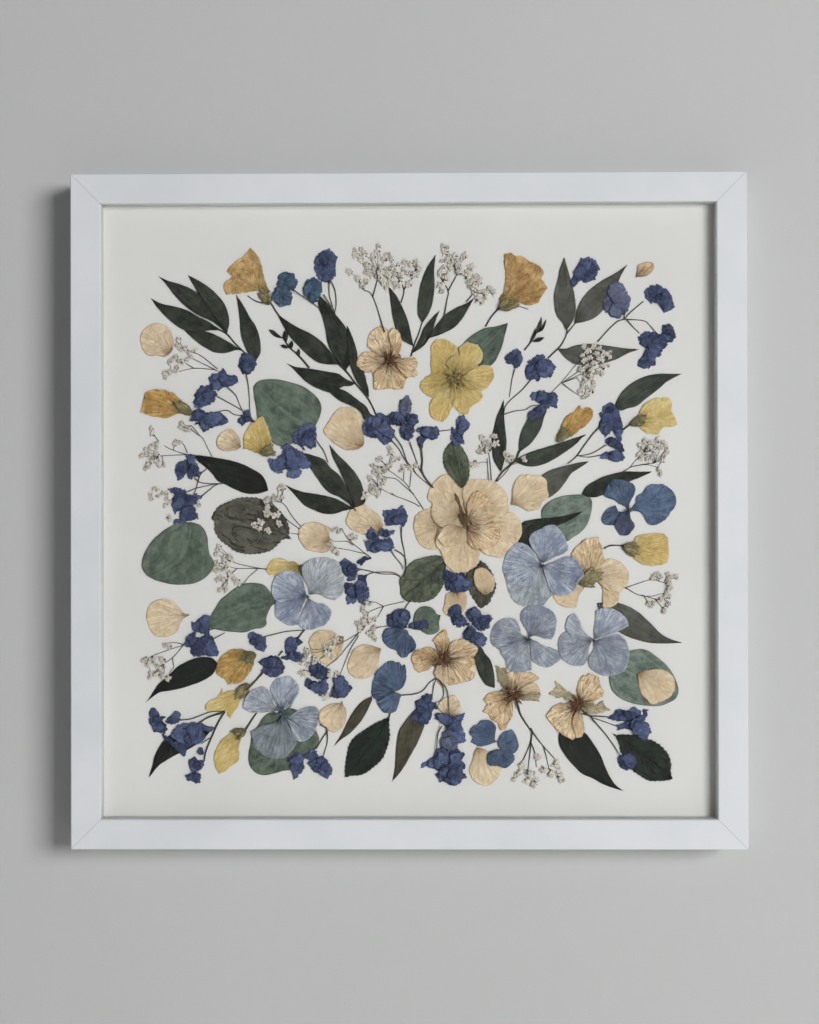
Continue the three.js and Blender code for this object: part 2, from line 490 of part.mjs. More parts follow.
  M 159,0 153,-1 151,0 149.5,3.5 145,2 141,-2 139.5,-6 141,-10 148,-10.5 152,-6
  N 159,0 152,-3 149.5,-8 149,-11 151,-15 154,-18 157,-18 161,-15 163,-11 161,-7
  K 157.5,1 159,2.2 161,1 160.8,-1 159,-2 157.5,-1
hydrangea_4
  J 86,-92 81.5,-89 80,-84 78,-79.5 73,-77.5 66,-79 61,-84 59,-91 60,-96 63,-99 66,-101 74,-103 80,-98
  J 86,-93 87,-100 88,-107 89,-115 84,-116 78,-117 72,-114 69.5,-108 67,-104 66,-100 72,-97 80,-94
  J 87,-92 93,-95 99,-98 105,-100 109,-103 110,-106 108,-109 103,-112 99.5,-113.5 95,-112 90,-109
    88.5,-103
  J 86.8,-91 86,-87 83,-83 81,-78 81,-74 84,-70.5 90,-68.5 97,-69 102,-71.5 106,-76 107,-80 106,-85
    106,-88 103,-93 98,-92.5 92,-90.5
  K 85,-90.5 88,-90.5 89,-93 87,-95 84.5,-94
hydrangea_5
  J 132,-94 122,-90 116,-87 112,-88 109,-91 108,-97 109,-103 111,-107 114,-110 120,-112 127,-111
    129,-106 130,-100
  J 133,-93 128,-89 126,-86 123,-78 120,-74 116,-76 114,-80 114,-86 117,-90 124,-92.5
  J 133.5,-94 140,-92 146,-90 151,-89 155,-92 158,-97 159,-103 158,-110 155,-116 148,-118.5 141,-119
    134,-116 130,-111 130,-106 133,-101
  H 134,-93 134,-85 135,-77 136,-72 140,-70.5 147,-71 153,-74 157,-78 158.5,-83 155,-85.5 151,-87
    146,-89 140,-91
  K 131.5,-92 134,-91.5 135.5,-93 134.5,-95.5 132,-95
hydrangea_6
  J -94,-144 -97,-141 -98.5,-137 -100,-132 -102,-129 -105,-127 -110,-128 -116,-132 -119,-138 -120,-142
    -116,-145 -108,-145.5 -100,-145
  H -92,-144 -95.5,-139 -98,-134 -100,-129 -99,-125 -95,-121 -90,-119.5 -86,-119.5 -83,-122 -81,-124
    -79,-128 -80,-132 -83,-137 -85,-140.5 -88,-141.5
  N -86,-140 -89,-134 -85,-129 -80,-126 -79.5,-131 -83,-137
  J -90,-148 -83,-146 -78,-143 -72,-141.5 -67,-141.5 -65,-145 -65,-151 -67,-157 -70,-162 -74,-165.5
    -80,-166 -84,-161 -86,-155
  J -91,-148 -96,-153 -104,-154.5 -110,-157 -114,-159 -113,-165 -111,-171 -107,-175 -101,-178 -95,-179
    -90,-178 -86,-175 -83,-171 -81,-167 -83,-162 -86,-157
  K -96,-145 -93,-142 -88,-142 -87,-147 -89,-151 -93,-152
`;

// ---------------------------------------------------------------- specimens in their places

const PRESSED_AS = [
  ["eucalyptus", LEAF_THICK, DRIED.eucalyptus],
  ["broad_leaf", LEAF_THICK, DRIED.broad_leaf],
  ["rose_leaf", LEAF_THICK, DRIED.rose_leaf],
  ["ruscus", LEAF_THICK, DRIED.ruscus],
  ["peach", FLOWER_THICK, DRIED.peach],
  ["yellow", FLOWER_THICK, DRIED.yellow],
  ["cream_rose", ROSE_THICK, DRIED.cream],
  ["hydrangea", FLORET_THICK, DRIED.hydrangea],
];

// Splits the listing into [name, outlines]. A word with a letter first starts a specimen or an outline.
function readSpecimens(listing) {
  const specimens = [];
  for (const word of listing.trim().split(/\s+/)) {
    if (word.includes("_")) specimens.push([word, []]);
    else if (/^[A-Z]/.test(word)) specimens.at(-1)[1].push([word]);
    else specimens.at(-1)[1].at(-1).push(new THREE.Vector2(...word.split(",").map(Number)));
  }
  return specimens.map(([name, rows]) => [name, rows.map(outlineOf)]);
}

// A stem's letter T carries its width; any other letter starts a closed outline.
function outlineOf([kind, ...points]) {
  return kind.startsWith("T") ? stemOutline(points, Number(kind.slice(1))) : points;
}

function stemOutline(points, width) {
  const left = [];
  const right = [];
  points.forEach((point, i) => {
    const before = points[Math.max(i - 1, 0)];
    const after = points[Math.min(i + 1, points.length - 1)];
    const along = after.clone().sub(before).normalize();
    const across = new THREE.Vector2(-along.y, along.x).multiplyScalar(width / 2);
    left.push(point.clone().add(across));
    right.unshift(point.clone().sub(across));
  });
  return [...left, ...right];
}

// Drops the points of an outline that lie within STRAIGHT of the line through their neighbours.
function simplified(points) {
  const kept = [points[0]];
  for (let i = 1; i < points.length - 1; i += 1) {
    const from = kept[kept.length - 1];
    const chord = points[i + 1].clone().sub(from);
    const away = Math.abs(chord.cross(points[i].clone().sub(from))) / chord.length();
    if (away > STRAIGHT) kept.push(points[i]);
  }
  kept.push(points[points.length - 1]);
  return kept;
}

// How far the specimens reach up from the card, on a grid of 1 mm cells.
const CELLS = 2 * HALF_OPENING;
const pressedHeight = new Float32Array(CELLS * CELLS);

function cellsUnder(outlines) {
  const cells = new Set();
  for (const outline of outlines) {
    const box = new THREE.Box2().setFromPoints(outline).expandByScalar(NEAR);
    for (let x = Math.floor(box.min.x); x <= box.max.x; x += 1) {
      for (let z = Math.floor(box.min.y); z <= box.max.y; z += 1) {
        if (isNear(outline, x, z)) cells.add((z + HALF_OPENING | 0) * CELLS + (x + HALF_OPENING | 0));
      }
    }
  }
  return [...cells];
}

// Whether a point is inside an outline or nearer than NEAR to its edge.
function isNear(outline, x, z) {
  const spot = new THREE.Vector2(x, z);
  const nearest = new THREE.Vector2();
  let inside = false;
  for (let i = 0, j = outline.length - 1; i < outline.length; j = i, i += 1) {
    const a = outline[i];
    const b = outline[j];
    if (a.y > z !== b.y > z && x < ((b.x - a.x) * (z - a.y)) / (b.y - a.y) + a.x) inside = !inside;
    const chord = b.clone().sub(a);
    const along = THREE.MathUtils.clamp(spot.clone().sub(a).dot(chord) / chord.lengthSq(), 0, 1);
    nearest.copy(a).addScaledVector(chord, along);
    if (nearest.distanceTo(spot) < NEAR) return true;
  }
  return inside;
}

// Lays one specimen on the highest of those already under it.
function laid(name, outlines) {
  const [, thick, material] = PRESSED_AS.find(([start]) => name.startsWith(start));
  const cells = cellsUnder(outlines);
  const under = Math.max(...cells.map((cell) => pressedHeight[cell]));
  const bottom = under + GAP;
  cells.forEach((cell) => {
    pressedHeight[cell] = bottom + thick;
  });
  const back = CARD_FRONT - bottom;
  const front = back - thick;
  const blades = outlines.map((outline) => {
    const shape = new THREE.Shape(simplified(outline));
    return solidOf(plate(shape, front, back));
  });
  const whole = blades.reduce((joined, blade) => joined.add(blade));
  return named(name, geometryOf(whole.simplify(WELD)), material);
}

// ---------------------------------------------------------------- the whole frame

const group = new THREE.Group();
group.add(...rails(), glazing(), spacer(), mountCard(), backingBoard(), backingTape());
group.add(sawtoothHanger(), ...bumpers());
for (const [name, outlines] of readSpecimens(SPECIMENS)) group.add(laid(name, outlines));

export default group;
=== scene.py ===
# %% [markdown]
# A pressed flower frame. A square frame of white painted wood hangs on a wall. Behind its glass, dried
# flowers and leaves lie on a pale card. The frame's rails, glass, card and backing come from the CAD
# model and only get their finish here. Every specimen is modelled here as thin crinkled sheets, because
# a flat plate can't show veins, folds and curled edges.

import math
from collections import namedtuple

import bpy
import numpy as np
from mathutils import Matrix, Vector, noise
from mathutils.geometry import delaunay_2d_cdt


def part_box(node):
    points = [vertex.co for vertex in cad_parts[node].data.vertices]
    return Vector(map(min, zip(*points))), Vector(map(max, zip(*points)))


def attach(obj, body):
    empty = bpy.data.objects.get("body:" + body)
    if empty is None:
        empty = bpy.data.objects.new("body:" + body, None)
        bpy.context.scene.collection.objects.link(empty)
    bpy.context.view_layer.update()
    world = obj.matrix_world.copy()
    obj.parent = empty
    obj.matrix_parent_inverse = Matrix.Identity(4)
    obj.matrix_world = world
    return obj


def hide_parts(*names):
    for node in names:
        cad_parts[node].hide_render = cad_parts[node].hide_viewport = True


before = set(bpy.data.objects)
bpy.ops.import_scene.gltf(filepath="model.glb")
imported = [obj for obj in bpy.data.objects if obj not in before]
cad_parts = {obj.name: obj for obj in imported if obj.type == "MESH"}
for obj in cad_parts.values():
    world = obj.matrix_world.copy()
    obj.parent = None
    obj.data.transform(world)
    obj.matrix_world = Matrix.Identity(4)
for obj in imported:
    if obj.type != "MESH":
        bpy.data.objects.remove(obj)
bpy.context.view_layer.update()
MM = 0.001
scene = bpy.context.scene
print("CAD nodes:", len(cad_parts))

# %% [markdown]
# The camera stands about a metre in front of the glass, a little right of the middle and a little low,
# with a short telephoto lens. Its turn is kept as three small angles, so that the rails run as slightly
# out of true as they do for somebody who holds a camera by hand.

# %% Camera
IMAGE_HEIGHT = 1024
FOCAL_PIXELS = 1399.6
SENSOR_MM = 36
CAMERA_PLACE = Vector((10.47, -1016.0, -4.89)) * MM
CAMERA_PITCH = 3.96e-3
CAMERA_ROLL = 1.88e-3
CAMERA_YAW = 9.62e-3
CLIP_START = 0.01

camera = bpy.data.objects.new("camera", bpy.data.cameras.new("camera"))
camera.data.sensor_width = SENSOR_MM
camera.data.lens = FOCAL_PIXELS / IMAGE_HEIGHT * SENSOR_MM
camera.data.clip_start = CLIP_START
turn = Matrix.Rotation(CAMERA_PITCH, 3, "X") @ Matrix.Rotation(CAMERA_ROLL, 3, "Y")
turn = turn @ Matrix.Rotation(CAMERA_YAW, 3, "Z")
facing_front = Matrix.Rotation(math.pi / 2, 3, "X")
camera.matrix_world = Matrix.Translation(CAMERA_PLACE) @ (turn @ facing_front).to_4x4()
scene.collection.objects.link(camera)
scene.camera = camera
print("lens", round(camera.data.lens, 1), "mm")

# %% [markdown]
# Every finish is procedural: it is worked out from a point's place, from noise, and on the specimens
# from values that their meshes keep. An image texture would have to be unwrapped and painted for each
# of more than a hundred pieces. The helpers below make one shader node each, so that a material reads
# as a recipe.

# %% Helpers for materials: colours and nodes
def srgb(code):
    """A hex colour such as '8e9bb0' as the linear colour that shaders use."""
    levels = [int(code[i:i + 2], 16) / 255 for i in (0, 2, 4)]
    return tuple(c / 12.92 if c <= 0.04045 else ((c + 0.055) / 1.055) ** 2.4 for c in levels) + (1.0,)


def add(tree, kind, at=(0, 0), **settings):
    """A node of the kind, with its properties set."""
    node = tree.nodes.new(kind)
    node.location = at
    for name, value in settings.items():
        setattr(node, name, value)
    return node


def new_material(name):
    """A material with its Principled BSDF and its output, and nothing else."""
    material = bpy.data.materials.new(name)
    material.use_nodes = True
    tree = material.node_tree
    return material, tree, tree.nodes["Principled BSDF"]


print("white as shaders use it:", srgb("ffffff"))

# %% [markdown]
# A recipe needs few kinds of step: arithmetic on values, a smooth ramp between two limits, a mix of two
# colours, noise, and a bump. Each step takes sockets or plain numbers and gives back its own output.

# %% Helpers for materials: values and mixes
def mathnode(tree, operation, first, second=None, third=None, clamp=False):
    """A Math node; each input is a socket or a number. Returns its output."""
    node = add(tree, "ShaderNodeMath", operation=operation, use_clamp=clamp)
    for socket, value in zip(node.inputs, (first, second, third)):
        if value is None:
            continue
        if isinstance(value, (int, float)):
            socket.default_value = value
        else:
            tree.links.new(value, socket)
    return node.outputs[0]


def ramp(tree, value, low, high, reverse=False):
    """0 below low and 1 above high, smooth between; the other way round with reverse."""
    node = add(tree, "ShaderNodeMapRange", interpolation_type="SMOOTHSTEP")
    tree.links.new(value, node.inputs["Value"])
    node.inputs["From Min"].default_value = low
    node.inputs["From Max"].default_value = high
    node.inputs["To Min"].default_value = 1.0 if reverse else 0.0
    node.inputs["To Max"].default_value = 0.0 if reverse else 1.0
    return node.outputs["Result"]


def mix(tree, amount, first, second):
    """Two colours mixed; each input is a socket, a number or a colour."""
    node = add(tree, "ShaderNodeMix", data_type="RGBA")
    for socket, value in ((node.inputs[0], amount), (node.inputs[6], first), (node.inputs[7], second)):
        if isinstance(value, (int, float, tuple)):
            socket.default_value = value
        else:
            tree.links.new(value, socket)
    return node.outputs[2]


print("steps so far: arithmetic, a ramp and a mix")

# %% [markdown]
# Noise is read at a point's place on its object, in metres. So a grain keeps its true size on every
# piece, which coordinates from 0 to 1 over each piece would not give.

# %% Helpers for materials: place, noise and bump
def object_place(tree):
    """Where a point is on the object, in metres."""
    return add(tree, "ShaderNodeTexCoord").outputs["Object"]


def noise_of(tree, vector, scale, detail=4.0, roughness=0.55, distortion=0.0):
    """A noise texture's value over a vector."""
    node = add(tree, "ShaderNodeTexNoise")
    node.inputs["Scale"].default_value = scale
    node.inputs["Detail"].default_value = detail
    node.inputs["Roughness"].default_value = roughness
    node.inputs["Distortion"].default_value = distortion
    tree.links.new(vector, node.inputs["Vector"])
    return node.outputs[0]


def bump(tree, shader, height, distance, strength=1.0):
    """Raises the surface's shading by a height; distance is in metres."""
    node = add(tree, "ShaderNodeBump")
    node.inputs["Strength"].default_value = strength
    node.inputs["Distance"].default_value = distance
    tree.links.new(height, node.inputs["Height"])
    tree.links.new(node.outputs["Normal"], shader.inputs["Normal"])


print("noise and bump use the object's own metres")

# %% [markdown]
# The frame hangs on a plain grey wall, above a pale floor. Both are only there for the light to fall on,
# so each is a single sheet of painted plaster. The wall is clear from behind and lets light through from
# there, so that the back of the frame can be looked at and is lit. A wall with a thickness would hide it.

# %% Plaster
def plaster(name, colour, one_sided):
    """Painted plaster with a faint unevenness; one-sided, it is clear from behind and casts no shadow."""
    material, tree, shader = new_material(name)
    place = object_place(tree)
    cloud = noise_of(tree, place, 3.0, detail=3)
    tone = mix(tree, cloud, srgb(colour[0]), srgb(colour[1]))
    tree.links.new(tone, shader.inputs["Base Color"])
    shader.inputs["Roughness"].default_value = 0.9
    bump(tree, shader, noise_of(tree, place, 900.0, detail=5), 0.0002, 0.5)
    if one_sided:
        clear = add(tree, "ShaderNodeBsdfTransparent")
        choose = add(tree, "ShaderNodeMixShader")
        from_behind = add(tree, "ShaderNodeNewGeometry").outputs["Backfacing"]
        shadow_ray = add(tree, "ShaderNodeLightPath").outputs["Is Shadow Ray"]
        tree.links.new(mathnode(tree, "MAXIMUM", from_behind, shadow_ray), choose.inputs[0])
        tree.links.new(shader.outputs[0], choose.inputs[1])
        tree.links.new(clear.outputs[0], choose.inputs[2])
        tree.links.new(choose.outputs[0], tree.nodes["Material Output"].inputs["Surface"])
    return material


wall_paint = plaster("wall_plaster", ("b9bab9", "c0c1c0"), one_sided=True)
floor_paint = plaster("floor_plaster", ("d8d8d6", "dededc"), one_sided=False)
print("plaster:", wall_paint.name, "and", floor_paint.name)

# %% [markdown]
# The wall stands at the back of the frame, as far off as the frame's shadow on it asks for. Two plain
# quads are enough, because nothing is seen of the wall and floor but the light on them.

# %% Wall and floor
WALL_Y = 16.2 * MM
WALL_HALF = 1.6
FLOOR_Z = -0.9
FLOOR_DEPTH = 2.6


def flat_quad(name, corners, material):
    """A stage sheet through four corners."""
    mesh = bpy.data.meshes.new(name)
    mesh.from_pydata(corners, [], [(0, 1, 2, 3)])
    mesh.materials.append(material)
    sheet = bpy.data.objects.new(name, mesh)
    scene.collection.objects.link(sheet)
    return sheet


wall = flat_quad("wall", [(-WALL_HALF, WALL_Y, FLOOR_Z), (WALL_HALF, WALL_Y, FLOOR_Z),
                          (WALL_HALF, WALL_Y, WALL_HALF), (-WALL_HALF, WALL_Y, WALL_HALF)], wall_paint)
floor = flat_quad("floor", [(-WALL_HALF, -FLOOR_DEPTH, FLOOR_Z), (WALL_HALF, -FLOOR_DEPTH, FLOOR_Z),
                            (WALL_HALF, WALL_Y, FLOOR_Z), (-WALL_HALF, WALL_Y, FLOOR_Z)], floor_paint)
print("wall at", round(WALL_Y / MM, 1), "mm")

# %% [markdown]
# Soft light falls from the right. The frame's shadow on the wall and the rails' shadows on the card have
# different slopes, as the light of a wide window gives at different depths. One lamp can't give both, so
# there are two key lights: one is linked to the wall and floor, and the other to everything else.
# Three large dim lights fill the shadows from below, from the left and from behind.

# %% Lights
def area_light(name, place, size, power):
    """A rectangular light at a place, turned towards the middle of the frame."""
    lamp = bpy.data.lights.new(name, "AREA")
    lamp.shape = "RECTANGLE"
    lamp.size, lamp.size_y = size
    lamp.energy = power
    holder = bpy.data.objects.new(name, lamp)
    holder.location = place
    holder.rotation_euler = (-Vector(place)).to_track_quat("-Z", "Y").to_euler()
    scene.collection.objects.link(holder)
    return holder


def light_only(holder, pieces, state):
    """Links a light to pieces: INCLUDE lights only them, EXCLUDE all but them."""
    linked = bpy.data.collections.new(holder.name + "_pieces")
    for piece in pieces:
        linked.objects.link(piece)
    holder.light_linking.receiver_collection = linked
    for entry in linked.collection_objects:
        entry.light_linking.link_state = state


key_light = area_light("key_light", (1.75, -3.44, 0.18), (1.56, 1.56), 118)
wall_key = area_light("wall_key", (3.05, -3.55, 0.9), (2.0, 1.7), 211)
light_only(key_light, [wall, floor], "EXCLUDE")
light_only(wall_key, [wall, floor], "INCLUDE")
area_light("low_fill", (1.1, -1.3, -1.9), (2.2, 1.2), 118)
area_light("left_fill", (-2.4, -1.5, 0.5), (1.6, 1.6), 3)
area_light("back_fill", (0.9, 2.2, 0.8), (1.6, 1.6), 40)

# %% [markdown]
# A room also gives dim light from all sides. It is a plain pale colour here. It is darker behind the
# viewer, because the glass mirrors that side of the room, and a bright room there would veil the
# flowers.

# %% The room's dim light
ROOM_LIGHT = 0.18
MIRRORED_LIGHT = 0.02
ROOM_COLOUR = (0.96, 0.98, 1.0, 1.0)
BEHIND_VIEWER = (-0.9, -0.55)


def room():
    """The room's dim light: darker behind the viewer, where the glass would mirror it."""
    world = bpy.data.worlds.new("room")
    world.use_nodes = True
    tree = world.node_tree
    parts = add(tree, "ShaderNodeSeparateXYZ")
    tree.links.new(add(tree, "ShaderNodeTexCoord").outputs["Generated"], parts.inputs[0])
    behind_viewer = ramp(tree, parts.outputs["Y"], *BEHIND_VIEWER)
    added = ROOM_LIGHT - MIRRORED_LIGHT
    strength = mathnode(tree, "MULTIPLY_ADD", behind_viewer, added, MIRRORED_LIGHT)
    background = tree.nodes["Background"]
    background.inputs["Color"].default_value = ROOM_COLOUR
    tree.links.new(strength, background.inputs["Strength"])
    return world


scene.world = room()
scene.view_settings.view_transform = "Standard"
print("room light", ROOM_LIGHT, "and", MIRRORED_LIGHT, "where the glass mirrors it")

# %% [markdown]
# The rails are wood under satin white paint: smooth from a step away, with soft unevenness from the
# brush and the odd speck of dust. The tone and the gloss both follow the same clouds of noise, because
# paint that lies thicker is both a little darker and a little shinier.

# %% White paint
def white_paint():
    """Satin white paint with soft brush lines and the odd speck of dust."""
    material, tree, shader = new_material("white_painted_wood")
    place = object_place(tree)
    cloud = noise_of(tree, place, 14.0, detail=3)
    speck = noise_of(tree, place, 700.0, detail=2)
    tone = mix(tree, ramp(tree, cloud, 0.3, 0.7), srgb("d2d5d8"), srgb("d9dbde"))
    tone = mix(tree, ramp(tree, speck, 0.72, 0.8), tone, srgb("b9babb"))
    tree.links.new(tone, shader.inputs["Base Color"])
    shader.inputs["Specular IOR Level"].default_value = 0.3
    rough = mathnode(tree, "MULTIPLY_ADD", cloud, 0.2, 0.52)
    tree.links.new(rough, shader.inputs["Roughness"])
    brushed = noise_of(tree, place, 260.0, detail=4)
    height = mathnode(tree, "ADD", brushed, mathnode(tree, "MULTIPLY", speck, 0.4))
    bump(tree, shader, height, 0.00012, 0.6)
    return material


rail_paint = white_paint()
print("rails:", rail_paint.name)

# %% [markdown]
# The pane is common picture glass with a trace of smears. Light on its way to the flowers goes straight
# through it, because bending each ray through the glass would only add noise to the light behind it.

# %% Picture glass
def clear_glass():
    """Picture glass: bright light goes straight through it to what lies behind."""
    material, tree, shader = new_material("picture_glass")
    shader.inputs["Base Color"].default_value = srgb("fcfcfd")
    shader.inputs["Transmission Weight"].default_value = 1.0
    shader.inputs["IOR"].default_value = 1.45
    smear = noise_of(tree, object_place(tree), 22.0, detail=4)
    tree.links.new(mathnode(tree, "MULTIPLY", smear, 0.02), shader.inputs["Roughness"])
    path = add(tree, "ShaderNodeLightPath")
    passes = mathnode(tree, "MAXIMUM", path.outputs["Is Shadow Ray"], path.outputs["Is Diffuse Ray"])
    clear = add(tree, "ShaderNodeBsdfTransparent")
    choose = add(tree, "ShaderNodeMixShader")
    tree.links.new(passes, choose.inputs[0])
    tree.links.new(shader.outputs[0], choose.inputs[1])
    tree.links.new(clear.outputs[0], choose.inputs[2])
    tree.links.new(choose.outputs[0], tree.nodes["Material Output"].inputs["Surface"])
    return material


pane = clear_glass()
print("pane:", pane.name)

# %% [markdown]
# The card, the spacer, the backing board, its gummed tape and the felt bumpers are all matt and fibrous.
# One recipe serves them all: two close tones in clouds, and a fine grain of its own size and depth for
# paper, foam, fibreboard, kraft paper or felt.

# %% Matt sheets
def matt(name, tones, mottle, grain, grain_depth, roughness=0.9):
    """A matt sheet material: two tones in clouds of the mottle's scale, and a grain of its own."""
    material, tree, shader = new_material(name)
    place = object_place(tree)
    cloud = noise_of(tree, place, mottle, detail=5)
    fibre = noise_of(tree, place, grain, detail=4, distortion=0.6)
    both = mathnode(tree, "MULTIPLY_ADD", fibre, 0.5, mathnode(tree, "MULTIPLY", cloud, 0.5))
    tone = mix(tree, ramp(tree, both, 0.32, 0.68), srgb(tones[0]), srgb(tones[1]))
    tree.links.new(tone, shader.inputs["Base Color"])
    rough = mathnode(tree, "MULTIPLY_ADD", fibre, 0.12, roughness - 0.06)
    tree.links.new(rough, shader.inputs["Roughness"])
    bump(tree, shader, fibre, grain_depth, 0.6)
    return material


card = matt("mount_card", ("dcdbd7", "e3e3df"), mottle=9.0, grain=1300.0, grain_depth=0.00006)
foam = matt("spacer_foam", ("c3c3c0", "cecdca"), mottle=60.0, grain=1500.0, grain_depth=0.00008)
board = matt("backing_board", ("7d6244", "94775a"), mottle=45.0, grain=900.0, grain_depth=0.00015)
tape = matt("backing_tape", ("ab8f62", "b99e72"), mottle=30.0, grain=1100.0, grain_depth=0.0001,
            roughness=0.75)
felt = matt("bumper_felt", ("5f6062", "77787a"), mottle=300.0, grain=2600.0, grain_depth=0.0003)
print("matt sheets:", [sheet.name for sheet in (card, foam, board, tape, felt)])

# %% [markdown]
# The sawtooth hanger is pressed from rolled steel strip. Rolling leaves fine lines along the strip, so
# its noise is stretched far along one axis. The CAD parts then get their finishes, and keep their shape.

# %% Hanger steel, and the finishes of the CAD parts
def hanger_steel():
    """Pressed steel strip, rolled along its length."""
    material, tree, shader = new_material("hanger_steel")
    place = object_place(tree)
    stretch = add(tree, "ShaderNodeMapping")
    stretch.inputs["Scale"].default_value = (40.0, 1400.0, 1400.0)
    tree.links.new(place, stretch.inputs["Vector"])
    lines = noise_of(tree, stretch.outputs[0], 1.0, detail=3)
    tree.links.new(mix(tree, lines, srgb("8d8f92"), srgb("b4b6b9")), shader.inputs["Base Color"])
    shader.inputs["Metallic"].default_value = 1.0
    tree.links.new(mathnode(tree, "MULTIPLY_ADD", lines, 0.2, 0.25), shader.inputs["Roughness"])
    return material


def finish(nodes, material):
    """Gives CAD nodes one material."""
    for node in nodes:
        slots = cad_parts[node].data.materials
        slots.clear()
        slots.append(material)
    print(material.name, "on", len(nodes), "nodes")


finish(["rail_top", "rail_right", "rail_bottom", "rail_left"], rail_paint)
finish(["glazing"], pane)
finish(["mount_card"], card)
finish(["spacer"], foam)
finish(["backing_board"], board)
finish(["backing_tape"], tape)
finish(["sawtooth_hanger"], hanger_steel())
finish(["bumper_left", "bumper_right"], felt)

# %% [markdown]
# Where two rails meet, filler closes the mitre a little below the paint, so that each joint shows as a
# hairline. The filler is a darker grey than the rails: painted shade in the gap. It is an upright strip
# in the gap of each corner. Shading alone would not give the hairline its shadow from the side.

# %% Mitre filler
OPENING_HALF = 220.5
OUTER_HALF = 242.0
OUTER_INSET = 0.2
FILLER_HALF = 0.13
FILLER_FRONT = -15.9
FILLER_BACK = 15.0
BOX_FACES = [(0, 1, 3, 2), (4, 6, 7, 5), (0, 4, 5, 1), (2, 3, 7, 6), (0, 2, 6, 4), (1, 5, 7, 3)]
# The filler's grey is painted shade, as a hairline gap between the rails would hold.
filler_painted_shade = matt("mitre_filler", ("a9abae", "b4b6b8"), mottle=200.0, grain=1500.0,
                    grain_depth=0.00005, roughness=0.7)


def mitre_filler(name, side_x, side_z):
    """A thin upright strip from the opening's corner to the frame's corner."""
    across = Vector((side_z, 0, -side_x)).normalized() * FILLER_HALF
    corners = []
    for reach in (OPENING_HALF, OUTER_HALF - OUTER_INSET):
        for edge in (-1, 1):
            for depth in (FILLER_FRONT, FILLER_BACK):
                corners.append((Vector((side_x * reach, depth, side_z * reach)) + across * edge) * MM)
    faces = BOX_FACES if side_x * side_z > 0 else [face[::-1] for face in BOX_FACES]
    mesh = bpy.data.meshes.new(name)
    mesh.from_pydata([c[:] for c in corners], [], faces)
    mesh.materials.append(filler_painted_shade)
    strip = bpy.data.objects.new(name, mesh)
    scene.collection.objects.link(strip)
    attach(strip, "root")


CORNERS = ((1, 1), (1, -1), (-1, -1), (-1, 1))
for number, (side_x, side_z) in enumerate(CORNERS):
    mitre_filler(f"mitre_filler_{number + 1}", side_x, side_z)
print("mitres filled:", len(CORNERS))

# %% [markdown]
# The specimens are listed as outlines. Each was drawn in the plane of the card, in millimetres
# from the middle of the frame, from the place where a blade joins its stem or its flower. The letters
# before the points say what a row is, and so its colour and relief:
# E Ep eucalyptus; R W U B V ruscus, from dark to brown; S D F toothed rose leaves, brown, black, green;
# K a calyx, Kp papery sepals; Q dark folds in the rose, brown tissue with painted shadow; Qs Ks Hs the
# hearts of flowers; Y yellow, G gold, Gp apricot, O peach and C cream petals; H I J hydrangea, and Jg a
# hydrangea petal darkened as painted shade; M N blue and violet petals; L P X larkspur, navy, plum and
# teal; T and a width in millimetres a stem; Z the middles of gypsophila flowers.
# Outlines hold a plant's real shape in few numbers, which a formula for leaves in general would not.

# %% Read a listing
def read_specimens(listing):
    """[(name, [(kind, points in mm)])] from a listing."""
    specimens = []
    for word in listing.split():
        if "_" in word:
            specimens.append((word, []))
        elif word[0].isalpha():
            specimens[-1][1].append((word, []))
        else:
            specimens[-1][1][-1][1].append([float(number) for number in word.split(",")])
    return [(name, [(kind, np.array(points)) for kind, points in rows]) for name, rows in specimens]


print("a row reads as", read_specimens("leaf_1 E 0,0 4,2 0,4"))

# %% [markdown]
# The first listing has the 48 largest specimens, which are solids in the CAD model. Its names are those
# of the CAD nodes, so that each mesh can take the place of its node.

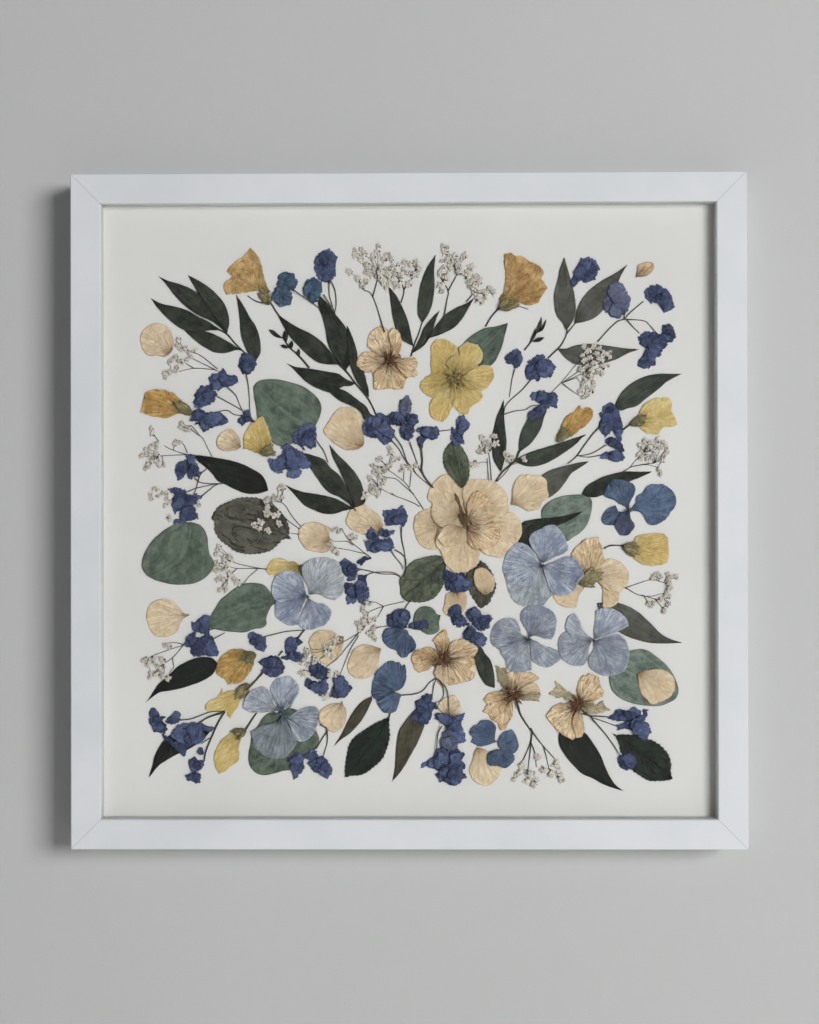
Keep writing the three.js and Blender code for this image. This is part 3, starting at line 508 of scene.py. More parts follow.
# %% Outlines of the leaves and flowers that the CAD model holds
in_cad = read_specimens("""
eucalyptus_leaf_1
  E -68,60 -66,64 -63.5,70 -63,76 -65,81 -70,86 -77,90.5 -85,93 -93,95 -100,95.5 -105,95 -110,93 -112,90
    -112,86 -110,74 -109,67 -105,60 -101,53 -97,49 -93,47 -86,48 -78,52
eucalyptus_leaf_2
  E -163,-8 -155,-8.5 -151,-10 -147,-15 -145.5,-20 -145,-26 -144,-31 -141,-37 -141,-40 -144,-45
    -149,-49.5 -155,-52 -161,-53 -170,-53 -176,-52 -185,-49 -190,-46 -193,-40 -192.5,-34 -190,-28
    -186,-22 -181,-17 -175,-12.5 -168,-9
eucalyptus_leaf_3
  Ep 96,-3 97,2 101,6 108,9.5 115,11 122,11.5 128,11 132,8 132.5,3 131,-5 129,-10 124,-16 118,-20 115,-22
    108,-20 101,-14 97,-8
eucalyptus_leaf_4
  E -95.5,-66.5 -100,-59 -104,-54 -110,-52 -115,-52 -121,-53 -126,-56 -131,-60 -136,-64 -140,-70
    -143,-75 -145,-79 -144,-84 -139,-85.5 -131,-87 -125,-87.5 -118,-87.5 -114,-86 -110,-85 -105,-84
    -103,-82 -103,-78 -101,-72 -98.5,-68
eucalyptus_leaf_5
  E -91,-146 -86,-142.5 -81,-144 -74,-150 -68,-157 -65,-165 -66,-170 -70,-174 -78,-181 -85,-187 -92,-188
    -98,-190 -105,-191 -111,-189 -115,-184 -116,-177 -114.5,-168 -113,-160 -109,-155 -106,-150 -101,-146
eucalyptus_leaf_6
  Ep 148,-112 155,-104 159,-101.5 163,-100.5 168,-100 173,-101.5 178,-105 183,-109 187,-113 191,-119
    193.5,-125 194.5,-130 193,-135 188,-138.5 181,-141 173,-141 165,-140 158,-138 152,-135 147,-130
    145,-124 145,-118
broad_leaf
  E 42,106 40,112 40,120.5 44,125 48,128 56,132 62,133 72,135.5 70,127 68,119 65,112 62,107 60,105
    55,104 48,104
rose_leaf_1
  S -84,-20.5 -86,-19 -86,-14 -87.5,-8 -90,-4 -93,0 -97,3 -101,6 -106,8.5 -114,10 -118,10 -126,8.5
    -132,6 -137,4 -140,0 -143,-5 -141,-7 -140,-14 -136,-21 -131,-25 -125,-29 -118,-31 -112,-31
    -107,-30.5 -99,-28 -94,-24 -90,-20.3
rose_leaf_2
  F 27,-37 24,-33 17,-32.5 10,-34 4,-36 -1,-40 -4,-46 -6.5,-50 -6,-56 -5,-62 -3,-64.5 3,-66 10,-66
    17,-64 22,-59 25,-54 26.5,-48 27,-42
rose_leaf_3
  D -14,-149 -14,-156 -14,-165 -16,-172 -19,-179 -24,-184 -29,-188 -36,-191 -42,-191.5 -46,-193 -46,-185
    -45,-177 -43.5,-170 -40,-164.5 -34,-159.5 -27,-155 -19,-151
  T1.2 -14.5,-150 -13.5,-146
rose_leaf_4
  D 146,-160 148,-161.5 155,-161.5 163,-162 170,-164 176,-166 182,-170 187,-176 189,-183 189,-190
    190,-194 182,-195 172,-194.5 166,-191 160,-186.5 156,-180 152.5,-173 151,-167 148.5,-162.5
ruscus_sprig_1
  T1.4 -140,133.5 -137,131.5 -131,128 -125,121 -117,113 -111,104
  R -119,115.5 -122,116.5 -133,114.5 -140,115 -147,118.5 -152,122 -158,127 -163,132 -156,131.5
    -144,129.5 -130,122.5
  R -137,131 -144,137 -152,141 -160,145.5 -170,148.5 -180,151 -186.5,154.5 -182,148 -175,140.5 -170,136
    -160,130.5 -150,130 -142,131
  R -131,128.5 -143,138 -150,141 -163,150 -170,157.5 -175,164 -181,170.5 -175,167.5 -165,164.5 -152,158
    -142,149 -135,139
  R -131,128.5 -129.5,136 -130,142 -133,150 -140,158.5 -150,166 -159.5,171 -156,165 -151,157 -145,148
    -138,138
  R -112,106 -107,115 -107,122 -110,133 -115,141 -120,150 -124.5,156.5 -123,148 -122,139 -121,128
    -118,119 -114,111
ruscus_sprig_2
  T1.6 -53,110 -50,106 -44,100 -38,92 -29,81 -23.5,70 -22,65
  R -38,92.4 -41,90.6 -47,90 -54,86 -58,86 -64,88 -70,91 -75,94.5 -79,98.5 -84,103.5 -88,107 -82,104.5
    -75,103.5 -65,102 -57,100.5 -50,99 -46,96
  R -22.6,68 -27,66 -32,66 -34,71 -40,75.5 -46,78 -50,80 -56,85 -60,92 -52,89 -46,87 -40,83 -36,80
    -30,75 -27,70
  R -50,106 -58,106 -65,107.5 -70,110.5 -75,115 -80,120 -87,128 -92,137 -95,143 -88,138 -80,133 -70,128
    -62,122 -56,115
  R -45,101.5 -52,110 -58,121 -60,132 -62,140 -65,150 -64,156 -58,150 -53,143 -46,134 -41,124 -40,115
    -42,107
  R -28.5,82 -31,85 -36,92 -40,100 -43,110 -44,120 -44,134 -42,130 -39,122 -37,115 -36.5,108 -35,104
    -32,100 -30,93 -28.5,86
ruscus_sprig_3
  T1.2 -46,11 -42,5 -38,0
  R -39,3 -46,7.5 -50,10 -57,13 -62,18 -67,25 -71,31 -76,36 -81,42 -76,42 -68,40 -61,37 -56,31 -51,27
    -45,18 -41,10
  R -39.6,2.2 -40,9 -44,17 -50,30 -55,40 -57,48 -52,42 -45,35 -38,27 -34,20 -32,13 -31.5,6 -34,4
  R -39,1.6 -47,0 -53,-2 -61,-2 -68,0.5 -75,4 -80,9 -85,14.5 -89,19 -84,16.5 -77,14 -68,12.5 -60,11
    -53,9 -47,6
ruscus_sprig_4
  T1.3 2,112 3.5,117 5,122 7.5,128 10.5,137.5
  R 4,119 -6,125 -10,136 -12,145 -13,155 -14.5,163 -8,155 -4,147 0,137 2,128
  R 10.5,136 7.5,141 7,148 8,158 10,167 15,178 20,185 19,175 19,160 17.5,150 15,143
  R 3,114 8,124 12,133 17,139 23,145 20,138 17,128 12,120
  R 13,124 22,136 26,141 34,146.5 42,150 48,154 44,147 40,140 34,133 27,129
ruscus_sprig_5
  T1.3 101,110 105,114 110,119 114,126 115,131
  T1 114,127 121,135.5
  U 114,130 112,135 108,140 106,147 105.5,155 108,166 110,175 113,183 115,176 118,165 120,157 121,145
    119,137
  U 120.5,135 122,144 126,153 133,161 140,166 150,171.5 158.5,177.5 154,170 150,160 147,152 141,145
    136,140 128,136.5
  U 108,117 114,117 120,119 128,120.3 140,119.5 150,118 158,117 167,116.3 160,114 150,109 142,106.5
    135,105 128,105 120,106 114,110
ruscus_sprig_6
  T1.8 80,43 77,36 70,30 67,27 63,21
  R 67,28 62,36 60.5,45 60.5,53 62,60 64,68 67,75 69,80.5 69,72 70,60 71,50 70.5,43 69,35
  W 80,42 80,50 81.5,57 85,64 88,70 93,75 99,78 100,73 98,67 96,60 92,53 88,48 84,45
  W 76.5,36 83,40 90,43 100,46 110,49 116,51 122,53 128.5,55 125,52 120,47 113,42 105,37 98,33.5 92,32
    86,32 80,34
ruscus_leaf_1
  W 149,76 151,80 154,85 159,90 165,94 172,97 180,98.5 190,98.5 197.5,98.5 187,93 180,87 172,81 165,75.5
    158,73.5 153,72
ruscus_leaf_2
  B -101.5,15 -103,21 -106,26 -112,30 -120,34 -128,36.5 -138,38.5 -148,40 -157,41 -152,36 -146,31
    -142,27 -138,22 -132,19 -126,16 -118,13 -110,12.5 -105,13.5
ruscus_leaf_3
  U 93,8 94,20 96,25 101,28.5 108,31 116,33 122,34.5 130.5,35.5 124,31 118,27 113,20 108,14 102,9.5
ruscus_leaf_4
  R 125.5,12 128,17 134,21 141,24.5 148,26.5 155,28 165,28 176,28 168,24 160,21 152,16 146,13 141,11.5
    137,10 132,9.5 127,11
ruscus_leaf_5
  R 79,-28 80,-16 82,-9 90,-6.5 97,-5.5 105,-5 112,-4 120,-2 126,-0.5 120,-5 112,-9 107,-11 100,-12
    94,-15 90,-19 88,-26
ruscus_leaf_6
  B -138.5,-110 -142,-106.5 -148,-105.5 -155,-106.5 -160,-108.5 -168,-113 -173,-118 -177,-121.5
    -181,-125 -184,-129 -187,-134 -190.5,-138.5 -185,-134 -180,-131 -174,-130 -166,-128.5 -158,-126
    -152,-124 -146,-121 -141,-117
ruscus_leaf_7
  B -141,-157 -147,-155 -155,-153 -163,-156 -170,-160 -177,-165 -181,-171 -184,-177 -186,-185
    -188.5,-193 -186,-190 -181,-184 -175,-180 -168,-176 -161,-173 -154,-169 -149,-166 -146,-162
ruscus_leaf_8
  V 8,-141 4,-144 -2,-151 -7,-159 -8.5,-166 -9.5,-175 -10,-185 -12,-195.5 -5,-187 1,-177 6,-168 9.5,-160
    12,-152 12,-145
ruscus_leaf_9
  B 120,-157 108.5,-160 108,-165 109,-170 113,-177 119,-184 125,-190 132,-193 140,-197.5 155,-202.5
    149,-198 145,-192 142,-186 138,-176 133,-168 127,-160.5
ruscus_leaf_10
  U 136,-67 142,-66 150,-66.5 158,-69 165,-73 171,-78 177,-84 182,-89 188,-92.5 197,-95.5 185,-96
    174,-95.5 165,-93.5 158,-91 152,-88 145,-82 138,-74
peach_bud_1
  T1.5 -103,155 -99,150 -96,145 -93,141
  Gp -103,155 -109,160 -118,158 -131,157 -133,163 -132,166.5 -129,168.5 -126.5,170
    -131.5,174 -124,181 -120,183.5 -114,190.5
    -108,183 -105,172 -103,165 -100,159
  K -100,150 -104,151 -109,157 -110,163 -105,161 -101,157 -98.5,152
  T0.9 -100,150 -107,151 -112,153 -116,156
peach_bud_2
  T1.5 68,150 66,147 60,140 56,133
  T0.8 67,148 74,148.8 81,147.5 87,145.5
  Gp 67,148 66,153 68,156 70,163 70.5,172 70,180 70,185 73,186 78,184 82,183.5 88,180 95,176.5 98,172
    96,168 99,164 101,160.5 97,156 94,150 88,148.5 80,150 72,149
  K 66,146.5 70,153 76,153 82,149 85,145.5 75,147.5
yellow_flower
  Y 40,88 43,94 40,100 34,103 28,100 25,94 28,88 34,85
  Y 32,97 26,98 17,98 16.3,105 16.5,112 17,120 21,124 29,123 35,118 36,108 34,100
  Y 36,98 37,108 37,118 42,122 50,120 53.5,114 52,107 46,101 40,97
  Y 38,96 44,101 50,104 57,105 61,103 62,97 60,92 56,88 50,86 44,88 39,92
  Y 37,92 43,88 50,87 54,83 51,78 48,77 45,74 43,70 40,69 37,71 34,75 34,82 35,88
  Y 33,91 35,84 34,77 30,71 28,67 25,64.5 20,65.5 17,68 15,74 16,79 19,82.5 24,86 29,89
  Y 30,94 27,88 22,84 17,82.5 13,84 10,86.5 8.5,90 10,93 13,97 18,99 25,98
  Y 34,99 27,106 31,111 36,113 38,106 37,99
  Ks 30,96 33,100 37,99 39,94 36,90 32,90 29,92
peach_flower_1
  O -5,108 -6,113 -12,115 -18,113 -20,108 -18,103 -12,101 -7,103
  O -15,110 -22,113 -30,119 -29,125 -25,131 -19,134 -14,130 -12,120 -13,113
  O -13,110 -12,118 -14,127 -11,132.5 -7,130 -5,122 -6,115 -9,111
  O -16,108 -21,112 -28,115.3 -32,114.5 -35,112 -37.5,105 -35,103 -32,101 -27,100.3 -20,102
  O -14,106 -20,103 -24.5,100 -25,94 -25,88 -20,88 -14,88.5 -8,88 -3.5,88 -3,91 -1,95 0,99 -7,104
  O -11,108 -9,110.5 -4,110 0,110.5 5,110.5 7,107 6,104 4.5,102 7.5,99.5 5,97.5 2,97 -1,96 -6,101
  Qs -16,106 -18,110 -14,113 -10,111 -9,108 -12,105
peach_flower_2
  O 32,-107 30,-102 25,-100 20,-102 18,-107 20,-112 25,-114 30,-112
  O 25,-104 21,-100 20,-97 17,-94 22,-89 25.5,-85.5 27,-86 28,-90 29.5,-96 29,-101
  O 28,-105 29,-99 31,-95 36,-93 40,-92 44,-95 48,-97 50,-99 48,-104 42,-107 34,-108
  O 29,-107 38,-106 44,-104.5 48,-108 48,-116 47,-121 42,-123.5 36,-124.5 31,-117
  O 26,-109 32,-115 36,-124.5 30,-126 25,-127 22,-124 18,-118 20,-112
  O 22,-107 20,-101 16,-98.5 10,-99.5 4,-102 2,-105 3,-110 5,-115 8,-116.5 12,-115.5 16,-113 20,-110
  Qs 20.5,-104 25,-103 29,-104 30,-108 27,-111 20.5,-110
peach_flower_3
  O 66,-130 70,-126 76,-126 81,-130 80,-136 75,-139 69,-137
  T1.6 77,-135 79,-142 81,-148 88,-159
  O 74,-130 71,-124 71,-117 77,-115.5 85,-116.5 89,-117 92,-119 94,-121 91,-123 86,-125 80,-128
  C 78,-131 82,-127 86,-125 92,-125 94,-128 95,-132 92,-134.5 86,-135 80,-134
  Kp 79,-133 86,-132.5 92,-131 96.5,-133 94,-135 95,-138 88,-136.5 82,-136.5
  O 73,-133 66,-130.5 58,-132 54,-136 56,-140 53.5,-145 58,-147 59.5,-151 64,-153 66,-158 69,-158 72,-153
    75,-146 74.5,-139
  Kp 72,-130 73,-124 71,-117 70.5,-113.5 67,-114 63,-112 63,-116 65,-118.5 65,-122 68,-127
  Qs 70,-131 74,-128 79,-131 80,-136 76,-139 71,-136
peach_flower_4
  O 116,-138 121,-134 126,-136 127,-142 123,-146 118,-143
  T1.4 124,-143 128,-146.5 132,-149
  O 120,-141 118,-137.5 115,-139 110,-139 104,-142 99,-148 101,-151 105,-156 109,-160 113,-163
    118,-165.5 121,-163 119,-152
  O 122,-142 124,-146 126,-152 126.5,-158 125,-163 121,-164 118,-155 119,-147
  O 124,-138 122,-133 122,-125 126,-119 128,-119.5 130,-117.5 133,-119 137,-120 138,-125 141,-131
    140,-134 136,-136 132,-139
  Kp 124,-139 131,-139.5 137,-140 140,-136.5 141,-141 145,-144 138,-146 131,-146.5 124,-143
  Kp 121,-139 115,-136.5 108,-135 101,-132 105,-130 106,-123.5 109,-126 113,-129.5 118,-132 122,-136
  Qs 118,-136 121,-134 125,-137 125,-143 121,-144 118,-141
yellow_bud_1
  T1.6 -158,71 -153,69 -148,66
  G -159,72 -161,76.5 -165,81 -170,85.5 -178,88 -185,88 -191,85.5 -192,80 -193.5,72 -187,70 -182,68.5
    -175,67.5 -170,69.5 -167,71 -162,71.2
  K -156.5,70.5 -159,74 -162,78 -167,80 -170,76 -168,71.5 -162,71
yellow_bud_2
  T1.4 152,56 156,59 160,62 164,64.5
  Y 163,64 165,68 167,71 170,76 175,79.5 180,81 188,81 190,78.5 190,71 192,68 194,62 190,60 184,60
    182,57.5 181,54.5 178,55 172,56 168,59
  K 161,62 165,68 169,71 172,67 171,62 168,58.5 164,61
yellow_bud_3
  T1.2 141,-27.5 145,-25.5 150,-25.2 156,-25.8 160,-27.5
  Y 159,-27 162,-22.5 164,-19.5 170,-17.5 178,-16.5 185,-17.5 187.5,-20 187.5,-27 187.5,-33 186.5,-38
    181,-39.5 173,-40 167,-38 162,-34 159,-31
  K 155,-26 159,-23 163,-22 166,-27 166,-34 162,-34 158,-30
yellow_bud_4
  G -114,-103 -120,-100 -127,-100 -132,-102 -137,-107 -139,-112 -139,-117 -136,-120 -132,-121.5
    -130.5,-125.5 -128,-125 -124,-124.5 -120,-122.5 -117,-119 -114.5,-116 -112,-109
  K -111,-103 -116,-101.5 -121,-104 -122,-108 -116,-110 -112,-110
yellow_bud_5
  T1.6 -120,-161 -113,-150 -109,-144.5
  Y -120,-160 -124,-158.5 -130,-161 -135,-165 -138,-170 -141,-177 -140.5,-183 -138.5,-188 -137,-190
    -133,-188 -129,-184.5 -125,-182 -122.5,-177 -123,-172 -121.5,-165
  K -118,-158.5 -121,-157.5 -127,-157.5 -133,-161 -126,-160 -123,-166 -120,-163
yellow_bud_6
  Y -104,42 -97,39.3 -98,48 -99,52 -102,61 -105.5,69 -109,66.5 -113,64 -117,59 -119,52 -119.5,45 -114,44
    -110,42
  K -106,41 -97,39 -96,41 -99,48 -103,47
yellow_lily
  C 129,-51 124,-53 118,-55 106,-58 104.5,-61 106,-65 112,-69.5 121,-70 122,-66 124,-60 127,-55
  C 136,-51 140,-57 140,-62 140,-70 146,-70 151,-66 152,-60 150,-56 142,-51
  C 134,-47 137,-40 141,-37 146,-35 152,-37 157,-42 159,-48 158,-53 155,-57 149,-58.5 143,-57 138,-53
  O 130,-47 126,-44 124,-40 122,-36 117,-32.5 119,-29 124,-24 128,-20.5 132,-20 137,-19.5 138.5,-24
    140,-31 141.5,-38 138,-44
  K 124,-52 127,-45 130,-42 136,-42 140,-46 139,-52 135,-55 130,-53.5 127,-54
cream_rose
  C 27,-14 27,-2 34,6 44,6 48,-6 44,-16 36,-20
  C 24,-10 16,2 12,1 8,-1 5,-4 4,-10 5,-18 9,-25 14,-27.5 20,-28 26,-29 26,-20
  C 36,-4 24,-12 20,-9 16,-1 17,5 14,8 14,12 16,17 20,22 25,26 30,26 36,20 40,14 39,4
  C 40,-12 30,-12 22,-13 20,-20 19.5,-24 23,-29 26,-37 32,-44 38,-47 44,-45 48,-42 50,-37 51,-33 52,-28
    48,-22
  C 52,-8 70,-2 73,-1 78,-4 81,-9 82,-14 81,-19 78,-23 75,-26 70,-31 68,-34 62,-33.5 57,-32 52,-28
    48,-20
  C 43,-3 40,6 39,14 43,22 48,22.5 55,22.5 61,21 67,17 71,12 72,6 72,0 66,-6 52,-9
  C 38,-12 30,-10 24,-13 21,-20 26,-26 36,-24 44,-22 42,-14
  O 43,-6 42,2 46,12 50,14.5 56,11 60,6 63,0 62,-4 57,-9 48,-12
  O 43,-10 52,-10 62,-8 66,-14 66,-22 58,-27 52,-28 46,-20
  O 42,-14 46,-12 51,-14 53,-22 50,-28 46,-27 43,-22
  Q 33.5,13 35,11 38,4 40.5,-3 41.5,-7 39,-4 36.5,3 34,9
  Q 36,-3 40,-1 43,-6 42,-12 39,-9
hydrangea_1
  H -74,-61 -75,-55 -77,-48 -79,-45 -84,-43.5 -90,-43.5 -95,-46 -98,-51 -99,-57 -98,-62 -95,-66 -86,-66
    -79,-64
  H -74,-62 -77,-70 -80,-78 -80,-82.5 -87,-82.5 -92,-80 -96,-76 -96.5,-70 -95,-64 -88,-62 -80,-61.5
  I -72,-61 -73,-54 -76,-48 -77,-42 -75,-38 -70,-34.5 -62,-33.5 -54,-35 -49,-39 -47,-46 -47,-52 -47,-58
    -50,-62 -54,-64.5 -58,-63.5 -63,-61 -70,-60.3
  H -72,-63 -67,-66.5 -62,-67 -58,-69.5 -56,-73 -57,-78 -60,-82 -66,-84.5 -72,-86 -78,-84.5 -80.5,-81
    -78,-76 -75.5,-70
  Hs -74,-61.2 -72.6,-60.8 -71.8,-62 -72.5,-63.6 -74,-63.2
hydrangea_2
  I 95,-41 98,-47 100,-52 102,-56 104,-61 101,-64 97,-68.5 90,-70 85,-69 80,-68 75,-64 72,-57 70,-48
    76,-44 86,-41
  H 96,-39.5 91,-32 87,-26 84,-24 78,-23.5 75,-26 71,-31 69,-36 68,-41 69,-46 73,-51 77,-53 85,-54
    92,-52 95,-46
  H 97,-40 106,-36 113,-33 117,-33 122,-36 124,-40 126,-46 122,-52 119,-58 115,-61 106,-60.5 102,-57
    99.5,-50 98,-44
  H 96.5,-38 92,-31 88,-25 87,-20 90,-16 95,-13.5 100,-11 105,-10.5 109,-14 112,-18 114,-23 115,-28
    112,-31 107,-33 100,-36.5
  Hs 95.8,-38.6 97.4,-38.5 98,-40 97,-41.2 95.6,-40.6
hydrangea_3
  M 159,0 156,3 152,4.5 149,7 143,9.5 141,11 142.5,15 145,20 148,22.5 153,22.5 158,21 162,19 164,16
    162.5,11 160,6
  M 159,0.5 164,5 165,9.5 169,13 172,17 175,18.5 180,19 183,19 186,17.5 190,14.5 192.5,11 193,6 192,2
    189.5,-1 187,-5 183,-8 180,-10 175,-10.5 172.5,-9 170,-4 167,-1 163,-0.5
  M 159,0 153,-1 151,0 149.5,3.5 145,2 141,-2 139.5,-6 141,-10 148,-10.5 152,-6
  N 159,0 152,-3 149.5,-8 149,-11 151,-15 154,-18 157,-18 161,-15 163,-11 161,-7
  Hs 157.5,1 159,2.2 161,1 160.8,-1 159,-2 157.5,-1
hydrangea_4
  J 86,-92 81.5,-89 80,-84 78,-79.5 73,-77.5 66,-79 61,-84 59,-91 60,-96 63,-99 66,-101 74,-103 80,-98
  J 86,-93 87,-100 88,-107 89,-115 84,-116 78,-117 72,-114 69.5,-108 67,-104 66,-100 72,-97 80,-94
  J 87,-92 93,-95 99,-98 105,-100 109,-103 110,-106 108,-109 103,-112 99.5,-113.5 95,-112 90,-109
    88.5,-103
  J 86.8,-91 86,-87 83,-83 81,-78 81,-74 84,-70.5 90,-68.5 97,-69 102,-71.5 106,-76 107,-80 106,-85
    106,-88 103,-93 98,-92.5 92,-90.5
  Hs 85.7,-91.3 87.3,-91.2 88,-92.7 87,-94 85.4,-93.2
hydrangea_5
  J 132,-94 122,-90 116,-87 112,-88 109,-91 108,-97 109,-103 111,-107 114,-110 120,-112 127,-111
    129,-106 130,-100
  J 133,-93 128,-89 126,-86 123,-78 120,-74 116,-76 114,-80 114,-86 117,-90 124,-92.5
  J 133.5,-94 140,-92 146,-90 151,-89 155,-92 158,-97 159,-103 158,-110 155,-116 148,-118.5 141,-119
    134,-116 130,-111 130,-106 133,-101
  H 134,-93 134,-85 135,-77 136,-72 140,-70.5 147,-71 153,-74 157,-78 158.5,-83 155,-85.5 151,-87
    146,-89 140,-91
  Hs 132.3,-92.6 133.8,-92.3 134.6,-93.3 134,-94.8 132.5,-94.5
hydrangea_6
  J -94,-144 -97,-141 -98.5,-137 -100,-132 -102,-129 -105,-127 -110,-128 -116,-132 -119,-138 -120,-142
    -116,-145 -108,-145.5 -100,-145
  H -92,-144 -95.5,-139 -98,-134 -100,-129 -99,-125 -95,-121 -90,-119.5 -86,-119.5 -83,-122 -81,-124
    -79,-128 -80,-132 -83,-137 -85,-140.5 -88,-141.5
  H -86,-140 -89,-134 -85,-129 -80,-126 -79.5,-131 -83,-137
  J -90,-148 -83,-146 -78,-143 -72,-141.5 -67,-141.5 -65,-145 -65,-151 -67,-157 -70,-162 -74,-165.5
    -80,-166 -84,-161 -86,-155
  Jg -91,-148 -96,-153 -104,-154.5 -110,-157 -114,-159 -113,-165 -111,-171 -107,-175 -101,-178 -95,-179
    -90,-178 -86,-175 -83,-171 -81,-167 -83,-162 -86,-157
  Hs -96,-145 -93,-142 -88,-142 -87,-147 -89,-151 -93,-152
""")
print(len(in_cad), "specimens that the CAD model holds too")

# %% [markdown]
# Some loose petals and small leaves lie partly under others. They are listed first, because a sheet that
# goes down later drapes over them. Only the part that shows, and a little more, is drawn.

# %% Outlines of small pieces that lie on the card, under others
lying_under = read_specimens("""
loose_petal_1
  C -33,47 -32,54 -32,60 -33,66 -36,72 -39,75 -44,75 -50,74.5 -54,71 -57,66 -60,62 -61.5,58 -58,53
    -52,48 -46,44.5 -41,44
loose_petal_2
  C -20,-14 -18.5,-11 -19,-8 -21,-4 -27,1 -33,5 -38,5 -41,2 -44,-3 -45,-8 -42,-13 -37,-15 -33,-17
    -27,-17
loose_petal_3
  C 34,-58 40,-58 42,-62 42,-67 40,-72 34,-76 28,-76 26,-74 25,-72 26,-67 28,-60
loose_petal_4
  C 29,-148 33,-149.5 36,-147 37.5,-142 36,-137 33,-133 29,-134 25,-136 22,-139 21,-143 24,-146
loose_petal_5
  C 49,-171 55,-172.5 58,-175 62,-180 67,-186 66,-189 61,-196 56,-198.5 50,-197 45,-192 43.5,-187
    46,-180 47.5,-174
small_leaf_1
  R 48,-96 52,-98 55,-103 59,-108 61,-115 62,-122 62,-128 56,-126 52,-121 49,-113 47,-107 46,-102
small_leaf_2
  E 5,-84 3.5,-77 5,-73 9,-69.5 14,-69 18,-71 21,-75 23,-75.5 22,-80 21.5,-87 18,-89 14,-89.5 10,-87.5
    7,-85
yellow_bud_7
  Y -78,-40 -82,-37 -87,-36.5 -90,-35 -94,-34 -99,-36 -102,-41 -103,-43 -100,-46.5 -96,-46 -90,-45
    -82,-44 -78,-45
  K -77.5,-39 -79,-44 -77,-47 -75,-43
yellow_bud_8
  Y -118,-129 -124,-129 -129,-130 -134,-131 -135,-128 -136,-131 -139,-135 -144,-137 -147.5,-142
    -146,-144 -143,-145 -136,-144.5 -131,-144.5 -131,-147 -129,-150 -127,-146 -124,-142 -122,-138
    -119,-134
  K -116,-125 -119,-126 -125,-129 -127,-133 -122,-136 -118,-133 -116,-129
""")
print(len(lying_under), "small pieces under others")

# %% [markdown]
# The small leaves, buds and twigs that lie on top are single blades like the large ones.

# %% Outlines of small leaves, buds, twigs and loose petals
small_pieces = read_specimens("""
small_leaf_3
  V -27,-134 -33,-137 -38,-142 -43,-150 -48,-160 -54.5,-170.5 -50,-166 -43,-161 -37,-155 -32,-148
    -28,-140 -26.5,-136
small_leaf_4
  S 52,-71 49,-67 46,-62 44,-58 45,-54 42,-49 42,-45 45,-42.5 49,-40.5 52,-36 56,-39 60,-44 62,-50
    63,-54 62,-59 60,-63 58,-67 55,-69
  C 55,-61 50,-57 47.5,-51 47,-46 48,-43 52,-41 57,-43 61,-47 62,-53 60,-58
dark_twig_1
  T1.5 -71.5,103.5 -76,109 -82,115 -86,118.5 -91,126
  R -90.5,125 -94,128 -98,131 -101,131.5 -99.5,129 -95.5,126
  R -88,122 -90.5,126.5 -89.5,131 -87,127.5
  R -86,118 -90,120.5 -92.5,120 -89,117.5
  R -84.5,117 -83,120.5 -84,123.5 -86.5,120
  R -79,111.5 -78,115 -79,117.5 -81,114.5
yellow_bud_9
  G 109,51 110,58 111,62 113,66 116,69.5 120,71 122,74 124,75.5 125,73 127,73 129,74.5 131,74 133.5,72
    133,68 130,63 125,59 120,55 114,52
  K 108,50 110,60 115,60 116,54
loose_petal_6
  C -172,115 -170,121 -171,128 -175,134 -181,136 -188,134.5 -193,129 -194,123 -192,117 -188,113
    -181,112.5 -176,112
loose_petal_7
  C -121,46.5 -122,52 -125,57 -129,59.5 -134,57.5 -137,55 -138.5,51 -138,47 -134,44 -129,43.5 -124,44.5
loose_petal_8
  O 164.5,168.5 166.5,177 173,179.5 177,178.5 177.5,175 174,170.5
loose_petal_10
  C 74,4.5 75,8 75,15 77,21 80,25 86,26 92,25.5 97,24.5 99.5,22 100,17 101,11 99.5,8 97,6 94,1 90,0
    87,-0.5 83,1.5 79,3.5
loose_petal_11
  C -158.5,-75 -163,-73.5 -166,-70 -170,-66 -174,-64 -178,-63.5 -184,-65 -188,-69 -190,-75 -189,-81
    -187,-86 -183,-90 -177,-91 -171,-89.5 -167,-86 -165,-81 -162,-77
loose_petal_12
  C -47,-91 -51,-90 -55,-87 -60,-86 -66,-87 -70,-90 -72,-95 -71,-99 -70,-103 -66,-107 -62,-110
    -57,-110.5 -53,-108.5 -50,-105 -48,-100
loose_petal_13
  C -20,-99.5 -21,-103 -21.5,-108 -23,-114 -26,-118 -31,-121 -38,-121 -43,-117 -44,-110 -42,-104
    -40,-100 -36,-97.5 -30,-96.5 -25,-98
loose_petal_14
  C 165,-118 168,-116.5 174,-115 181,-114.5 187,-116.5 191,-121 192,-126 190,-132 186,-136 180,-138.5
    176,-139.5 171,-136 167,-131 166,-125
loose_petal_15
  C -48,-137 -49,-139 -53,-139 -60,-141 -64,-145 -65,-150 -63,-154 -60,-157 -56,-160 -51,-159 -47,-155
    -45,-149 -45.5,-144 -47.5,-140
small_leaf_5
  F 38,16 33,22 29,27 26,32 25.5,40 27,45 31,50 36,49 40,44 43,38 44,30 43.5,23 41,18
dark_twig_2
  T1.2 84,116 88,121 92,127 96,134
  R 88,121 90,127 92,132.5 92,126
  R 92,127 94,134 96.5,140 96,132
  R 93,128 97,133 100,138.5 97,130
  R 90,122 95,122 98.5,125 94,125
""")
print(len(small_pieces), "small pieces on top")

# %% [markdown]
# A pressed larkspur floret is crumpled tissue on a thread of a stalk. Its outline is drawn coarsely
# here, and its ragged rim and smaller inner petals are made later by rule.

